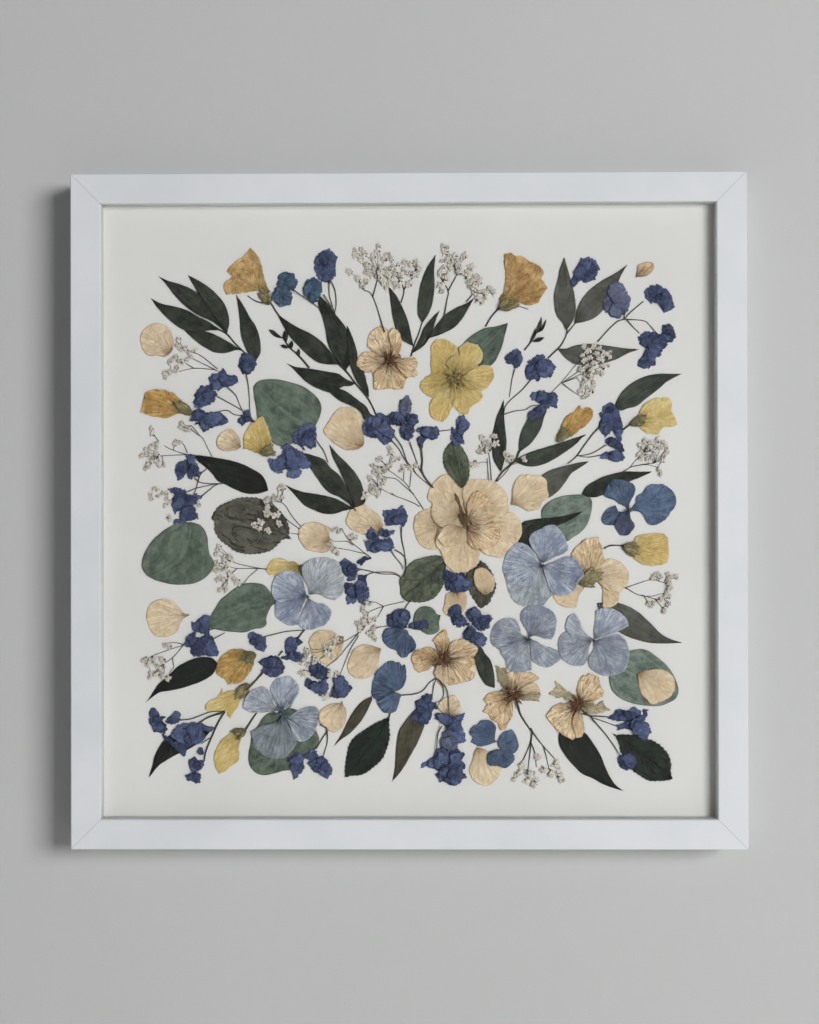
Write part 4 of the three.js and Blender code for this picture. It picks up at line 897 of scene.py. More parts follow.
# %% Outlines of the larkspur florets and their stalks
larkspur = read_specimens("""
larkspur_1
  X -83,160 -80,166 -83,172 -89,173.5 -94,170 -95,164 -91,160.5
  X -85,161 -90,164 -96,161 -98,154 -93,147.5 -87,149 -84,154
  L -57,165 -52.5,170 -53,177 -51.5,184 -57,190.5 -64,187.5 -68,180 -67,171 -62,166
  X -66,152 -63,158 -63,165 -68,169 -74,167 -76,160 -73,153 -69,150
  T0.8 -83,160 -70,151 -63,146
  T0.8 -57,167 -57,157 -55,149 -53,143
  T0.8 -56,167 -53,160 -52,150 -53,143
  T0.8 -61,156.5 -55,147
larkspur_2
  L -138,84 -141,80 -145,77 -150,75 -154,76 -155,79 -152.5,82 -155,84 -153,88 -150,90.5 -145,91 -140,87
  L -137,87 -143,89 -144,96.5 -142,99.5 -138,100 -136,101 -134,103 -132,99.5 -130,97.5 -127,99 -124,97
    -123,93 -130,91 -134,90
  L -148,66 -158,65 -157,69 -155,72.5 -151,74 -149,72.5 -145,71.5 -137,71.5 -133,69 -130,65 -134,63
    -141,61 -148,58 -150,60 -152,63.5 -155,63
  L -117,99 -112,101 -111,105 -109.5,105 -110,108 -112,112 -117,114 -120,113.5 -122,109 -123,105
    -120,99.5
  L -115,65 -111.5,64.5 -113.5,67 -114,71 -116,73 -119,74 -120,70 -121,68 -124,66 -123,64 -120,62.5
    -117,64.5
  T0.8 -131,90 -125,84 -123,79 -120,73 -117,70
  T0.8 -138,83 -130,78.5 -120,73
  T0.8 -139,71.5 -131,73 -126,70 -119,69
  T0.8 -117,99 -115.5,88 -114.5,72
larkspur_3
  L -75,44 -77,47 -76,50 -73,47 -70,44.5 -67.5,45.5 -67.5,50 -66.5,54 -67,61 -70,63.5 -75,63 -76,61
    -79,61 -80,58 -83,55 -82,49.5
  L -80,44 -75,41 -71,35 -70,33 -73,31 -78,30.5 -77,28 -79,25 -83,23.5 -87,25 -88,28 -88,30.5 -90,31
    -91,28 -97,27 -99,30 -101,36 -100,38 -96,37 -94,40 -91,40.5 -92,46 -88,49
  T0.8 -67.5,53 -65,49 -61,43 -58,35
larkspur_4
  L -13,60 -17,69 -21,71 -25,68.5 -29,69 -31,66 -33,60 -32,56 -28,54 -22,52.5 -20,50 -16,48 -13,50
    -11,53 -10,58
  L -4,62 -8,61 -12,63 -15,68 -13,71 -9,71.5 -5,71 -1,70 0,65
  P -2,68 -5,71 -6.5,76 -6,80 -3,81 -0.5,83 1,80 2,77 1,71
  L 0,64 0,70 3,70 6.5,69 7,64 4,61
  L -2,63 -6,59 -6,55 -4,52 0,51 3,53 4,58 3,62
  L 9,56 6,58 8,60.5 12,61 15,60.5 20,60.5 21.5,58 22,55 20,53 17,51.5 13,53 11.5,50 10,46 7,46 6,48
    7,52
  L 36,58 34,63 36,67 38,69 40,68.5 41,66 43,65.5 44,62 43,59 40,57 38.5,54 39,51 40.5,48.5 37,48 33,47
    31.5,50 31,56 32,60
  T0.8 -12,51 -7,45 -2,36 5,27.5 12,21 18,16.5
  T0.8 -10,54 -5,47 -1,36 5,28
  T0.8 1,50 3,44 8,30 10,27
  T1.6 9,48 10,36 9.5,30 12,24 18,16.5
  T0.8 22,57.5 31,58.5
larkspur_5
  L 77,103 75,106 71,107 70,110 72,113 76,115.5 79,116.5 81,114.5 82.5,110 81.5,106 80,104
  L 91,95 88,95 85.5,96 84.5,101 86,105 87,108.5 90,109.5 93,112 98,112.5 100,110 103,108 105,105
    106.5,103.5 105,101 104,97 100,96 96,97 94.5,95 94,93
  L 97,77 101,74 103,75.5 107,74.5 107,77 108.5,80 107,83 104,85.5 100,85 98,86.5 94,86 90,85.5 88.5,83
    89,80.5 92,79.5 95,78
  L 97,77 95,76 92,74 88,72 87,68 89,66 93,67 97,70 99,73
  T0.8 77,102 75,95 74,88 73,82
  T0.9 89,95 82,87 74,80 70,75 69,70
  T0.8 69,69.5 77,72 85,73 89,75.5 95,76
larkspur_6
  L 146,69 141,72 141,75 144,76.5 146,78 148,77 150,74 152,71 152,68
  L 147,60 142,52 139,57 137.5,60 139,64 140,67 139,70 150,70 153,68 153.5,64 154.5,61 155,57 154,54
    153,50 152.5,48.5
  L 149,46 143,48 143,52 147,53 153,49 155,46 156.5,44 154.5,41
  L 147,42 143,42 139.5,40 139,38 145,36.5 152,36 156,37 156,39 154.5,41 150,43
  T1.2 138,60 133,55 127,47 122,40 118,36 115,34
  T0.8 139,40 130,38.5 122,39.5
  T0.8 143,47.5 136,43 130,40.5 122,39.5
  T1 155,58 160,62
larkspur_7
  L 124,166 119,161 117,165 120,170 122,176 125,182 131,183 136,180 138,174 135,167 129,165
  P 148,139 143,143 141,150 144,157 146,163 152,165 157,160 160.5,153 159,145 154,139
  L 181,152 176,149 172,153 171,158 175,162 180,163 186,160 190,155 192,147 189,145 185,143 183,147
  L 186,122 183,127 184,133 188,135 192,131 193,125 190,121
  L 175,116 172,118 168,120 166,125 170,129 178,129 184,126 187,119.5 184,116 182,111 178,110 178,105
    175,104.5 173,102.5 168,103 166,105 166,108 169,110 171,114
  T1 137,122 145,131 152,137 156,138 160,142.5 170,151
  T0.8 156,138 156,145
  T0.8 156,138 170,137 175,133 180,127
  T0.8 158,137.5 162,133 167,128
larkspur_8
  L -158,31 -162,26.5 -164,23 -167,22.5 -168,27 -168.5,31 -168,34 -165,36 -162,37.5 -160,34
  L -157,31 -160,27 -159,24 -157,23 -156,25.5 -152,24.5 -150,28 -151.5,29.5 -151.5,32 -153,34.5 -155,35
    -154.5,40 -157,41 -161,41 -160,36
  L -162,2 -167,0 -169,-2 -170,2 -171.5,5 -171,9 -169.5,12 -174,16 -171,16.5 -165,16 -164,14.5 -162,15.5
    -161,12.5 -156,12 -153,13 -150,10 -153,7 -156,4.5
  L -160,4 -156,4.5 -154,2 -153,-2 -152.5,-5.5 -157,-5.5 -160,-6 -162,-8.5 -169,-8.5 -169,-6.5 -166,-5
    -165,-1
  T0.8 -155,24.5 -151,21 -145,20 -138,20
  T0.8 -146,30.5 -150,27 -152,22 -154,15 -156,11
  T0.8 -160,14 -152,17 -140,19.5 -134,20
  T0.9 -150,10.5 -140,18.5 -134,20
larkspur_9
  L -6,-9 -8,-10 -16,-10 -17,-6 -18,0 -14,0 -11,1 -8,0.5 -5,4 -3.5,3.5 -2,0 -0.5,-4 -1,-8 -4,-12
  L -26,-22 -31,-18 -32,-17 -29,-15 -27,-12 -25,-13 -24,-16 -22,-19 -22,-23
  L -20,-22 -32,-21 -31,-25 -30,-29 -24,-30 -19,-28.5 -15,-29.5 -12,-28 -10,-26 -12,-22 -14,-19
  L -17,-18 -22,-17.5 -19,-13 -16,-13.5 -14,-15.5 -10,-14 -10,-16.5 -14,-17.5
  L -37,-38 -38,-37 -34,-34.5 -31,-33 -27,-34.5 -31,-36 -34,-40
  T1 -5,-11 -5,-20 -3,-30 -2,-42 -3,-48
  T0.8 -12.5,-28.5 -10,-33 -5,-39 -4,-42
  T0.8 -10,-28 -5,-31 -2,-35 -2,-42
larkspur_10
  L -44,-50 -47,-44 -50,-37 -46,-34 -43,-37 -38,-39 -35,-42 -37,-44 -38,-50
  L -40,-52 -46,-52 -46,-58 -45,-63 -44,-67 -39,-67 -37,-63 -38,-56
  L -36,-50 -36,-46 -31,-47 -30,-54 -28.5,-60 -29,-65 -32,-68 -35,-67 -37,-63.5 -39,-56
  T0.8 -35,-42 -28,-43.5 -20,-45.5 -10,-46 -4.5,-48.5
  T0.8 -31,-47 -25,-44.5 -12,-44.5 -6,-47
larkspur_11
  L -149,-88 -156,-87 -157,-80 -154,-81 -152,-78 -150,-77 -148,-76 -144.5,-76 -144.5,-84 -145,-90
  L -150,-92 -144,-88 -141,-93 -140,-98 -137.5,-102 -139,-105 -143,-104.5 -148,-104.5 -155,-105
    -157,-102 -158,-98 -156,-92
  L -153,-92 -158,-98 -161,-98 -162,-96 -160,-92 -158,-89 -154,-87
  T0.8 -140.5,-92 -133,-88
  T0.8 -144.5,-86 -141,-85
larkspur_12
  L -104,-91 -106,-90.5 -110,-89 -112,-87 -114.5,-88 -116,-91 -115,-95 -112,-97 -109,-100 -105,-101
    -103,-98 -104,-94
  L -80,-92 -83,-91 -86,-91 -88,-94 -90,-98 -90,-101 -88,-104 -82,-102 -82,-100 -80,-97 -76.5,-95
  L -93,-106 -88,-104.5 -84,-101 -80,-102 -76,-104 -76,-108 -80,-109 -86,-108
  L -95,-105 -93,-107 -91,-110 -90,-113 -91,-117 -95,-119.5 -100,-119.5 -105,-116.5 -107,-115 -104,-113
    -106,-111 -108,-109 -104,-107 -100,-105
  T0.9 -105,-91 -97,-89 -88,-87 -75,-86
  T1.2 -80,-92 -77,-88 -75,-86
  T1.2 -91,-101 -94,-104.5
  T1.6 -105,-116 -112,-124 -117,-129
larkspur_13
  L -62,-122 -71,-119 -72,-115 -72,-112 -70,-110 -66,-110 -61,-112 -59,-114 -57,-120
  L -66,-124 -73,-121 -75,-125 -72,-129 -68,-130 -64,-133 -60,-132 -58,-127 -60,-121
  L -53,-125 -57,-134 -52,-135.5 -47,-135 -44,-132 -41,-128 -44,-124 -47,-119.5 -50,-119 -55,-121
larkspur_14
  L -2,-84 -5,-85 -11,-84.5 -15,-83 -15.5,-78 -15,-74.5 -12,-76 -11,-74 -9,-71.5 -6,-70.5 -3,-71 0,-73
    1.5,-76 0,-79 -1,-81
  M -1,-86 0,-89 3,-92 5,-96 4,-101 1,-103 -1,-105 -4,-106 -7,-104.5 -9,-101 -13,-99.5 -17,-96 -19,-92
    -18.5,-88 -16.5,-85 -11,-84.5 -5,-85
  L 0,-84.5 4,-80 13,-79.5 14,-84 8,-85.5
  T0.8 1,-65 -1,-68 -3,-71
larkspur_15
  L 27,-50 25,-50 25,-45 28,-43 30,-44 33,-46 37,-45 40,-44.5 41.5,-50 46,-52 44,-57 40,-58.5 36,-59
    30,-58 27,-57 26,-52
larkspur_16
  L 44,-82 42,-80 40,-78 38,-73 37,-69 35,-68 31,-69 29,-72 28.5,-75 31,-78 32,-82 35,-84 39,-84
  L 46,-82 41.5,-74 44,-71 48,-70 51,-72 52,-75 52,-80
  L 47,-82 52,-75 56,-75 60,-77 61.5,-78.5 58,-80 58,-84 54,-87 51,-87
  L 45,-83 50,-87.5 54,-90 57,-93 55,-97 52,-98 47,-96 42,-93.5 39.5,-89 42,-84
larkspur_17
  M -8,-130 -5,-128 -3,-125 -2,-121 -2,-115 -3,-111 -5,-112 -7,-109.5 -9,-109.5 -12,-108 -16,-109.5
    -20,-113 -24,-117 -25,-122 -18,-126
  M -8,-132 -18,-126 -25,-122 -27,-130 -26,-134.5 -23,-137 -15,-137
  M -7,-132 -5,-133 -6.5,-136 -8,-141 -10,-145 -14,-146 -18,-145.5 -21,-142 -23,-138 -16,-133
larkspur_18
  L -176,-152 -172,-148 -170,-145.5 -167,-145 -165.5,-148 -165.5,-151 -168,-153.5 -172,-154
  L -180,-151 -175,-149 -178,-149 -180.5,-149 -181,-146 -184,-142 -187,-144 -188,-147 -187,-150
    -188,-153 -185,-157 -185,-160 -177,-160 -175,-158 -175,-155
  L -150,-159 -144,-159 -141,-157 -147,-155 -150,-153.5 -155,-152.5 -160,-154 -163,-153 -166,-154.5
    -170,-158 -172,-163 -165,-168 -158,-169.5 -154,-168.5 -149,-166 -147,-163
  L -170,-166 -178,-161 -177,-166 -170,-170 -166,-174 -163,-177 -161,-175 -161,-172 -158,-170
  L -152,-188 -153,-188.5 -150,-186 -148,-184.5 -149,-180.5 -152,-180 -155,-178 -159,-180 -159.5,-182
    -158,-186 -157,-189
  L -154,-189 -151,-190 -151,-196 -154,-197 -157,-195.5 -160,-194.5 -163,-191 -160,-190
  L -149,-176 -152,-174 -152,-171 -149.5,-171 -148.5,-173.5
  T0.9 -165.5,-151 -157,-150 -150,-147.5 -143,-145 -133,-144.5
  T1.6 -133,-145 -145,-149 -152,-153.5
  T1.4 -133,-145 -138,-153 -142,-162 -145,-169 -147,-175 -148,-181
  T0.8 -144,-164 -150,-168
larkspur_19
  L -84,-180 -88,-181 -85,-177 -80,-174.5 -76,-177 -77,-183 -76,-186 -78,-190 -80,-190 -81,-188
    -80.5,-192 -83,-195 -84,-192 -85,-187
  L -70,-180 -76,-177 -70,-172 -66,-174 -66,-178 -68,-186 -74,-182
  L -64,-184 -66,-178 -63,-177.5 -60,-179 -58,-182 -55.5,-185 -56,-190 -58,-191 -59,-193 -62,-192
    -65,-189 -69,-188 -71,-184
  T1 -64,-154 -59,-158 -63,-165 -67,-172
  T0.8 -59,-158 -59,-167 -62,-178
larkspur_20
  L 12,-142 17,-139 19,-139 21,-143 16,-144 16,-150 14,-154 9,-154 6,-152 1,-151.5 4,-146 6,-142 5,-138
    9,-136 11,-133 14,-132 17,-133 17,-136
  L 25,-152 19,-150 21,-146.5 25,-147 31,-148.5 33,-151 30,-153
  L 19.6,-147 25,-145.5 31,-147.5 36,-147.5 40.6,-146 38.5,-151 37,-155 40,-160 41,-166 36,-168 31,-163
    27,-155 23,-152
  P 24,-160 30,-158 33,-163 35,-169 34,-177 29,-179 25,-174 23,-168
  L 20,-172 25,-171 29,-176 30,-182 26,-187 20,-187.5 14,-184.5 8,-185.5 10,-182 16,-180 18,-177
  L 31,-173 36,-172 40,-176 37,-180 41,-184 39,-188 35,-187 31,-184 29,-178
  L 24,-184 30,-182 34,-186 38,-189 42,-192 38,-193.5 36,-197.5 31,-198.5 26,-196 22,-195 19.5,-190
  T1 -5,-133 3,-132.5 10,-130 15,-124 20,-121
  T0.8 20,-120.5 18,-127 17,-134
  T0.8 21,-121 25,-128 25,-134 23,-137 19,-138.5
  T0.8 22,-122 27,-128 28.5,-135 29,-148
  T1 24,-155 21,-161 20,-172
larkspur_21
  M 62,-166 64,-166.5 60,-168 55,-169.5 50,-170 45,-167 46,-164 44,-160 47,-155 50,-154 51,-152 55,-151
    60,-152.5 62.5,-156 62,-163
  M 65,-171 64,-168 65,-165 67,-161 74,-158 76.5,-161 78,-165 79,-170 78,-173 75,-175.5 70,-175
  M 65,-172 61,-173 57,-175 56,-179 58,-183.5 64,-184 70,-185.5 74,-182.5 76,-179 75,-175.5 70,-174
larkspur_22
  L 152,-151 144,-150 148,-147 149,-145 152,-144 158,-145 161,-143 163,-142 167,-145 168,-150 160,-153
  L 158,-152 169,-147 169,-144 172.5,-144 171,-150 170,-152 173,-155 174,-158 175,-160 172,-163 170,-166
    167,-164 163,-161 160,-158 155,-157 151,-158 150,-155
  L 151,-181 152,-177 155,-175 159,-175 163,-178 164,-182 161,-186 157,-187 153,-185
  T1.2 125,-146 131,-148 138,-148.5 145,-149
  T0.8 131,-149 140,-152 150,-155.5
  T1 132,-150 139,-158 146,-167 152,-176
""")
print(len(larkspur), "larkspur sprigs and florets")

# %% [markdown]
# Gypsophila branches into fine stalks, each with a tiny white flower. Only the main stalks and the
# middles of the flowers are listed. The flowers and the finest stalks are made later by rule.

# %% Stalks and heads of the gypsophila
gypsophila = read_specimens("""
gypsophila_1
  T0.6 -138,101.5 -141,102.5 -155,103.5 -165,101.5 -171,100.5
  T0.6 -140,102.5 -148,106.5 -157,111
  T0.6 -138,103 -150,112.5 -158,116
  T0.6 -155,103.5 -163,108
  Z -167,120 -164,117 -161,118 -158,115 -154,116 -168,112 -166,109 -163,108 -173,108 -171,110 -160,110
    -168,102 -167,104 -176,100 -175.5,97 -172,101 -157,112 -166,124
gypsophila_2
  T0.6 -160,41 -170,44 -177,47.5
  T0.6 -160,41 -173,40.5 -181,40
  T0.6 -160,42 -162,47 -165,51
  T0.6 -185,56 -181,51
  Z -186,60 -185,56 -182,49 -186,47 -190,45 -189,42 -187,41 -182,46 -182,41 -168,50.5 -169,48.5 -165,50
    -189,34 -188,32 -190,31 -185,37 -183,37 -181,35 -177,34 -180,33 -193,40
gypsophila_3
  T0.6 -157,59 -152,55 -149,53 -145,45 -142,39.5
  T0.6 -157,62 -151,55
  Z -163,60 -160,59 -164,64 -165,61 -158,59
gypsophila_4
  Z -182,16 -184,16 -187,12 -186,9 -181,11 -178,13 -175,13 -175,9 -173,7 -176,4 -173,-5 -152,6 -152,4
gypsophila_5
  T0.6 -79,-13 -88,-6 -95,2 -100,7
  T0.6 -77,-12 -84,-4 -90,5 -96,7
  T0.6 -79,-17 -85,-16
  Z -112,-9 -107,-8 -111,-11 -101,-15 -102,-13 -103,-1 -102,-3 -95,-2 -94,-8 -93,-10 -102,2 -102,4
    -103,7 -97,10 -97,8 -94,9 -91,10 -92,18 -93,16 -90,17 -101,9
gypsophila_6
  T0.6 -102,-42 -110,-41 -124,-38 -128,-36
  T0.6 -102,-42 -110,-41.5 -124,-41.5 -130,-40
  T0.6 -124,-41.5 -129,-46 -131,-50
  T0.6 -109,-42 -115,-47 -119,-52
  Z -137,-26 -139,-31 -138,-28 -133,-34 -128,-35 -129,-33 -133,-37 -131,-40 -139,-37 -138,-39 -137,-43
    -133,-42 -139,-43 -136,-48 -138,-50 -134,-49 -129,-46 -133,-54 -136,-57 -132,-57 -123.5,-51
gypsophila_7
  T0.6 -27,-34 -36,-27 -44,-20 -48,-13
  T0.6 -40,-25 -44,-22 -50,-22
  T0.6 -27,-34 -31,-31 -36,-30 -44,-28 -52,-27
  Z -54,-14 -50,-15 -52,-13 -42,-19 -40,-18 -38,-19 -55,-26 -54,-29 -53,-28 -51,-31 -57,-24 -56,-22
gypsophila_8
  T0.6 11,1 7,7 2,14 -2,20 -8,25 -14,29
  T0.6 4,12 -3,18 -9,23 -15,24
  T0.6 8,3 5,5 -2,8 -10,11 -18,15 -22,18
  T0.6 -10,11 -12,13
  T0.6 -3,31 -3.5,22
  T0.6 2,28 1,17
  Z -12,42 -20,38 -22,37 -10.5,37 -26,33 -23,31 -25,28 -22,29 -21,30 -17,31 -16,29 -14,32 -13,33 -5,29
    -3,32 2,31 -28,24 -27,22.5 -19,24 -17,22 -18,20 -20,26 -26,18 -24,17 -27,15 -26,14 -22,11 -23,13
    -20,17 -31,11
gypsophila_9
  T1.0 -17,129 -25.5,155 -32,160
  T1.0 -25.5,155 -22,168
  Z -33,163 -30,166 -36,168 -27,171 -24,175 -21,170 -19,176 -17,183 -29,178 -34,182 -38,185
    -25,184 -22,188 -31,186 -18,165 -42,173 -15,171
gypsophila_10
  T1.0 -5,150.5 -3,160 -8,170
  T1.0 -3,160 3,168 6,176
  Z -12,168 -9,172 -10,177 -5,170 -3,175 0,172 2,178 4,171 8,175 6,180 -2,180 1,164 -6,164
gypsophila_11
  T1.0 26,140 28,152 29,159 24,168
  T1.0 29,159 36,172
  T1.0 42,151 48,158
  Z 27,187 34,184 41,184 46,176 28,168 52,166 59,161 51,153 24,172 31,176 36,178 43,170
    38,173 48,160 56,157 62,158 47,166 29,181 24,163
gypsophila_12
  T0.6 104,86 110,92 121,105
  T0.6 111,92 125,102
  T0.6 111,92 128,100
  T0.6 111,92 122,96
  T0.6 111,92 119,86 127,81
  Z 128,99 132,101 137,100 141,104 129,104 134,106 139,109 131,110 127,108 136,113
    142,113 130,115 125,102 138,117 134,118 126,112 140,99 133,96 127,82 130,84 125,87
    129,89 133,87 134,92 128,94 131,96 126,91
gypsophila_13
  T0.6 60,22 59,35 58,42
  T0.6 58,22 57,38
  Z 62.5,53.5 63,48 61,54 53,53 58,49 55,49 53,46 51,43 53,42 57,44 48.5,33.5
gypsophila_14
  T0.6 64,21 70,27 74,33
  Z 72,40 70,41 73,37 75,38 71,39 83,38 84,36
gypsophila_15
  T0.6 155,28 160,31 163,35 170,42
  T0.6 160,31 168,33 177,34
  T0.6 163,32 172,33 180,31
  Z 166,40 169,43 172,41 170,46 174,45 177,43 175,49 179,47 182,45 184,49 180,51 186,46
    178,40 173,37 167,47 187,42 171,50 185,40 184,36 176,38 181,29 182,26 168,38
gypsophila_16
  T0.6 -162,-96.5 -168,-98.5 -177,-101.5 -184,-104 -188,-106
  T0.6 -162,-96.5 -170,-95 -175,-95.5
  T0.6 -163,-97 -170,-105 -177,-110.5
  T0.6 -171,-106 -170,-113
  Z -176,-97 -173,-98 -190,-107 -192,-108 -188,-109 -189,-111 -184,-106 -184,-109 -182,-112 -180,-113
    -177,-112 -179,-115 -183,-117 -187,-117 -178,-107 -179,-119 -187,-120 -183,-118 -178,-120 -174,-121
gypsophila_17
  T0.6 -36,-88 -46,-94 -56,-98.5 -64,-100 -70,-100
  T0.6 -36,-88 -45,-99 -51,-106 -60,-113
  T0.6 -36,-90 -42,-100 -47,-112 -50,-119
  T0.6 -58,-100 -66,-102 -72,-102
  T0.6 -60,-104 -66,-108
  Z -74,-100 -72,-101 -74,-104 -76,-107 -73,-105 -68,-106 -66,-108 -56,-98 -59,-103 -52,-93 -77,-110
    -73,-111 -68,-109 -75,-117 -62,-114 -57,-116 -63,-116 -58,-118 -52,-117 -64,-115 -50,-123 -52,-120
    -60,-134
gypsophila_18
  T0.6 -3,-65.5 -10,-67 -18,-69 -24,-71 -29,-73.5 -30,-77
  T0.6 -18,-69 -22,-76 -24,-79
  T0.6 -18,-69 -24,-66 -28,-65.5
  T0.6 -15,-83 -20,-84 -26,-84
  T0.6 -20,-83.5 -26,-86
  T0.6 -31,-82 -33,-86 -36,-88
  Z -30,-66 -27,-67 -33,-70 -33,-72 -31,-76 -33,-79 -32,-82 -29,-78 -28,-80 -37,-81 -36,-82 -25,-84
    -26,-86 -29,-88 -27,-90 -25,-91 -24,-93 -35,-86 -24,-78
gypsophila_19
  T0.6 156,-56 165,-53 175,-50 182,-51.5 186,-53
  T0.6 157,-56 166,-61 175,-62 183,-60
  T0.6 168,-61 178,-64 184,-64
  T0.6 170,-62 173,-67
  T0.6 178,-64 183,-70
  Z 177,-47 180,-46 176,-49 182,-48 187,-46 189,-48 188,-50 193,-48 188,-53 189,-56 187,-57 186,-60
    185,-62 188,-62 182,-64 173,-67 175,-69 177,-67 187,-68 188,-67 185,-72 184,-73
gypsophila_20
  T1.1 88,-157 89,-160 88,-166 86,-172 82,-181
  T0.9 89,-159 88,-170 87,-178 86,-187
  T0.9 89,-159 93,-165 97,-170 105,-179
  T0.7 97,-170 99,-177 101,-186
  T0.7 88,-167 91,-175 92,-185
  Z 81.5,-183.7 92.9,-178 106.3,-182.7 77.7,-190.3 85.3,-195 92,-195 102.4,-190.3 109,-191.3 87.2,-190.3
    75.8,-194 97,-187
loose_petal_9
  C -57,-22 -57,-12 -61,-10 -67,-8 -72,-8.5 -76,-10 -79,-15 -79,-20 -77,-24 -73,-28 -66,-29.5 -60,-30
    -57,-28
""")
print(len(gypsophila), "gypsophila sprays")

# %% [markdown]
# A dried petal is a thin sheet that is wrinkled across its whole face, so each blade is made as one:
# its outline is rounded by a smooth curve, filled with evenly spread points, and joined into triangles.
# The first step is the curve. A plain polygon would show its straight sides, and a curve without corners
# would lose a leaf's tip, so a point stays sharp where the outline turns by more than a given angle.

# %% From a few points to a smooth outline
def soft_noise(x, z, scale, seed):
    """Smooth noise from -1 to 1 at each point, with features of about that many millimetres."""
    return np.array([noise.noise(Vector((a / scale, b / scale, seed * 7.31))) for a, b in zip(x, z)])


def rounded(points, step, corner_angle):
    """A closed curve through the points in steps of that length; corners over the angle stay sharp."""
    count = len(points)
    ahead = np.roll(points, -1, axis=0) - points
    span = np.linalg.norm(ahead, axis=1) + 1e-9
    heading = ahead / span[:, None]
    behind = np.roll(heading, 1, axis=0)
    corner = np.arccos(np.clip((heading * behind).sum(axis=1), -1, 1)) > math.radians(corner_angle)
    tangent = heading * np.roll(span, 1)[:, None] + behind * span[:, None]
    tangent /= np.linalg.norm(tangent, axis=1)[:, None] + 1e-9
    tangent[corner] = 0
    curve = []
    for i in range(count):
        j = (i + 1) % count
        steps = max(1, int(round(span[i] / step)))
        t = (np.arange(steps) / steps)[:, None]
        curve.append((2 * t**3 - 3 * t**2 + 1) * points[i] + (t**3 - 2 * t**2 + t) * span[i] * tangent[i]
                     + (3 * t**2 - 2 * t**3) * points[j] + (t**3 - t**2) * span[i] * tangent[j])
    return np.vstack(curve)


first_leaf = in_cad[0][1][0][1]
leaf_curve = rounded(first_leaf, 1.0, 62)
print("the first leaf:", len(first_leaf), "points drawn,", len(leaf_curve), "on its curve")

# %% [markdown]
# Each kind of blade dries in its own way. A table says how: lengths are in millimetres. Folds run along
# the blade, and crumple goes every way in patches of a size. The rim lifts, and the whole sheet waves.
# The outline is rough and notched, or has teeth. Corner is the angle from which a point stays sharp,
# and spacing is the distance between the points of the mesh. One table keeps kinds easy to compare.

# %% The form of each kind of blade
Relief = namedtuple("Relief", "folds crumple size lift waves rough notch teeth corner spacing")
FLAT_LEAF = Relief(0.06, 0.12, 5.0, 0.30, 0.35, 0.12, 0.12, 0.0, 62, 1.2)
TOOTHED_LEAF = Relief(0.12, 0.45, 5.0, 0.40, 0.35, 0.25, 0.10, 0.95, 62, 1.0)
SOFT_PETAL = Relief(0.40, 0.32, 3.0, 0.70, 0.40, 0.45, 0.60, 0.0, 45, 0.85)
SMOOTH_PETAL = Relief(0.26, 0.24, 3.5, 0.50, 0.35, 0.35, 0.40, 0.0, 62, 0.85)
CRUMPLED = Relief(0.16, 0.30, 3.0, 0.30, 0.15, 0.75, 1.30, 0.0, 22, 0.88)
STAR = Relief(0.15, 0.25, 1.8, 0.25, 0.05, 0.30, 0.40, 0.0, 62, 0.7)
RELIEF = {
    "E": FLAT_LEAF._replace(rough=0.15), "Ep": FLAT_LEAF._replace(rough=0.15),
    "R": FLAT_LEAF, "W": FLAT_LEAF, "U": FLAT_LEAF, "B": FLAT_LEAF, "V": FLAT_LEAF,
    "S": TOOTHED_LEAF, "D": TOOTHED_LEAF, "F": TOOTHED_LEAF._replace(teeth=0.5),
    "K": STAR._replace(crumple=0.15, notch=0.6), "Q": STAR, "Ks": STAR, "Qs": STAR, "Hs": STAR,
    "Y": SOFT_PETAL._replace(folds=0.28, notch=0.45), "G": SOFT_PETAL,
    "Gp": SOFT_PETAL._replace(crumple=0.5), "O": SOFT_PETAL._replace(crumple=0.45),
    "C": SOFT_PETAL._replace(folds=0.30, crumple=0.24, notch=0.3, rough=0.30, corner=62),
    "H": SMOOTH_PETAL, "I": SMOOTH_PETAL, "J": SMOOTH_PETAL, "Jg": SMOOTH_PETAL,
    "M": SMOOTH_PETAL, "N": SMOOTH_PETAL,
    "Kp": CRUMPLED, "L": CRUMPLED, "P": CRUMPLED, "X": CRUMPLED,
}
print("forms for", len(RELIEF), "kinds of blade")

# %% [markdown]
# A torn or shrunken rim is what shows first that a petal is dry. The outline is moved in and out along
# its own normal: slowly by smooth noise, sharply where a second noise crosses zero, and in saw teeth on
# a rose leaf. The sign of the outline's area says which way is out, whichever way round it was drawn.
# What is added to a seed, here and below, only keeps one noise apart from another.

# %% Ragged and toothed rims
TOOTH_LENGTH = 3.4
SLOW_EDGE, QUICK_EDGE = 4.5, 1.8
NOTCH_APART = 2.4
NOTCH_SHARP = 5
NOTCH_OUT = 0.4


def ragged(outline, form, seed):
    """Moves the outline in and out, as a torn or shrunken edge is, with notches and teeth of the form."""
    along = np.roll(outline, -1, axis=0) - np.roll(outline, 1, axis=0)
    out = np.stack([along[:, 1], -along[:, 0]], axis=1)
    out /= np.linalg.norm(out, axis=1)[:, None] + 1e-9
    x, z = outline[:, 0], outline[:, 1]
    out *= np.sign(np.sum(x * np.roll(z, -1) - np.roll(x, -1) * z))
    slow, quick = soft_noise(x, z, SLOW_EDGE, seed), soft_noise(x, z, QUICK_EDGE, seed + 3)
    shift = form.rough * (slow + 0.6 * quick)
    notch = 1.0 - np.minimum(np.abs(soft_noise(x, z, NOTCH_APART, seed + 9)) * NOTCH_SHARP, 1.0)
    shift += form.notch * (NOTCH_OUT - notch * notch)
    if form.teeth:
        step = np.linalg.norm(np.roll(outline, -1, axis=0) - outline, axis=1)
        gone = np.concatenate([[0], np.cumsum(step)[:-1]]) / TOOTH_LENGTH
        shift += form.teeth * (gone % 1.0 - 0.5)
    return outline + out * shift[:, None]


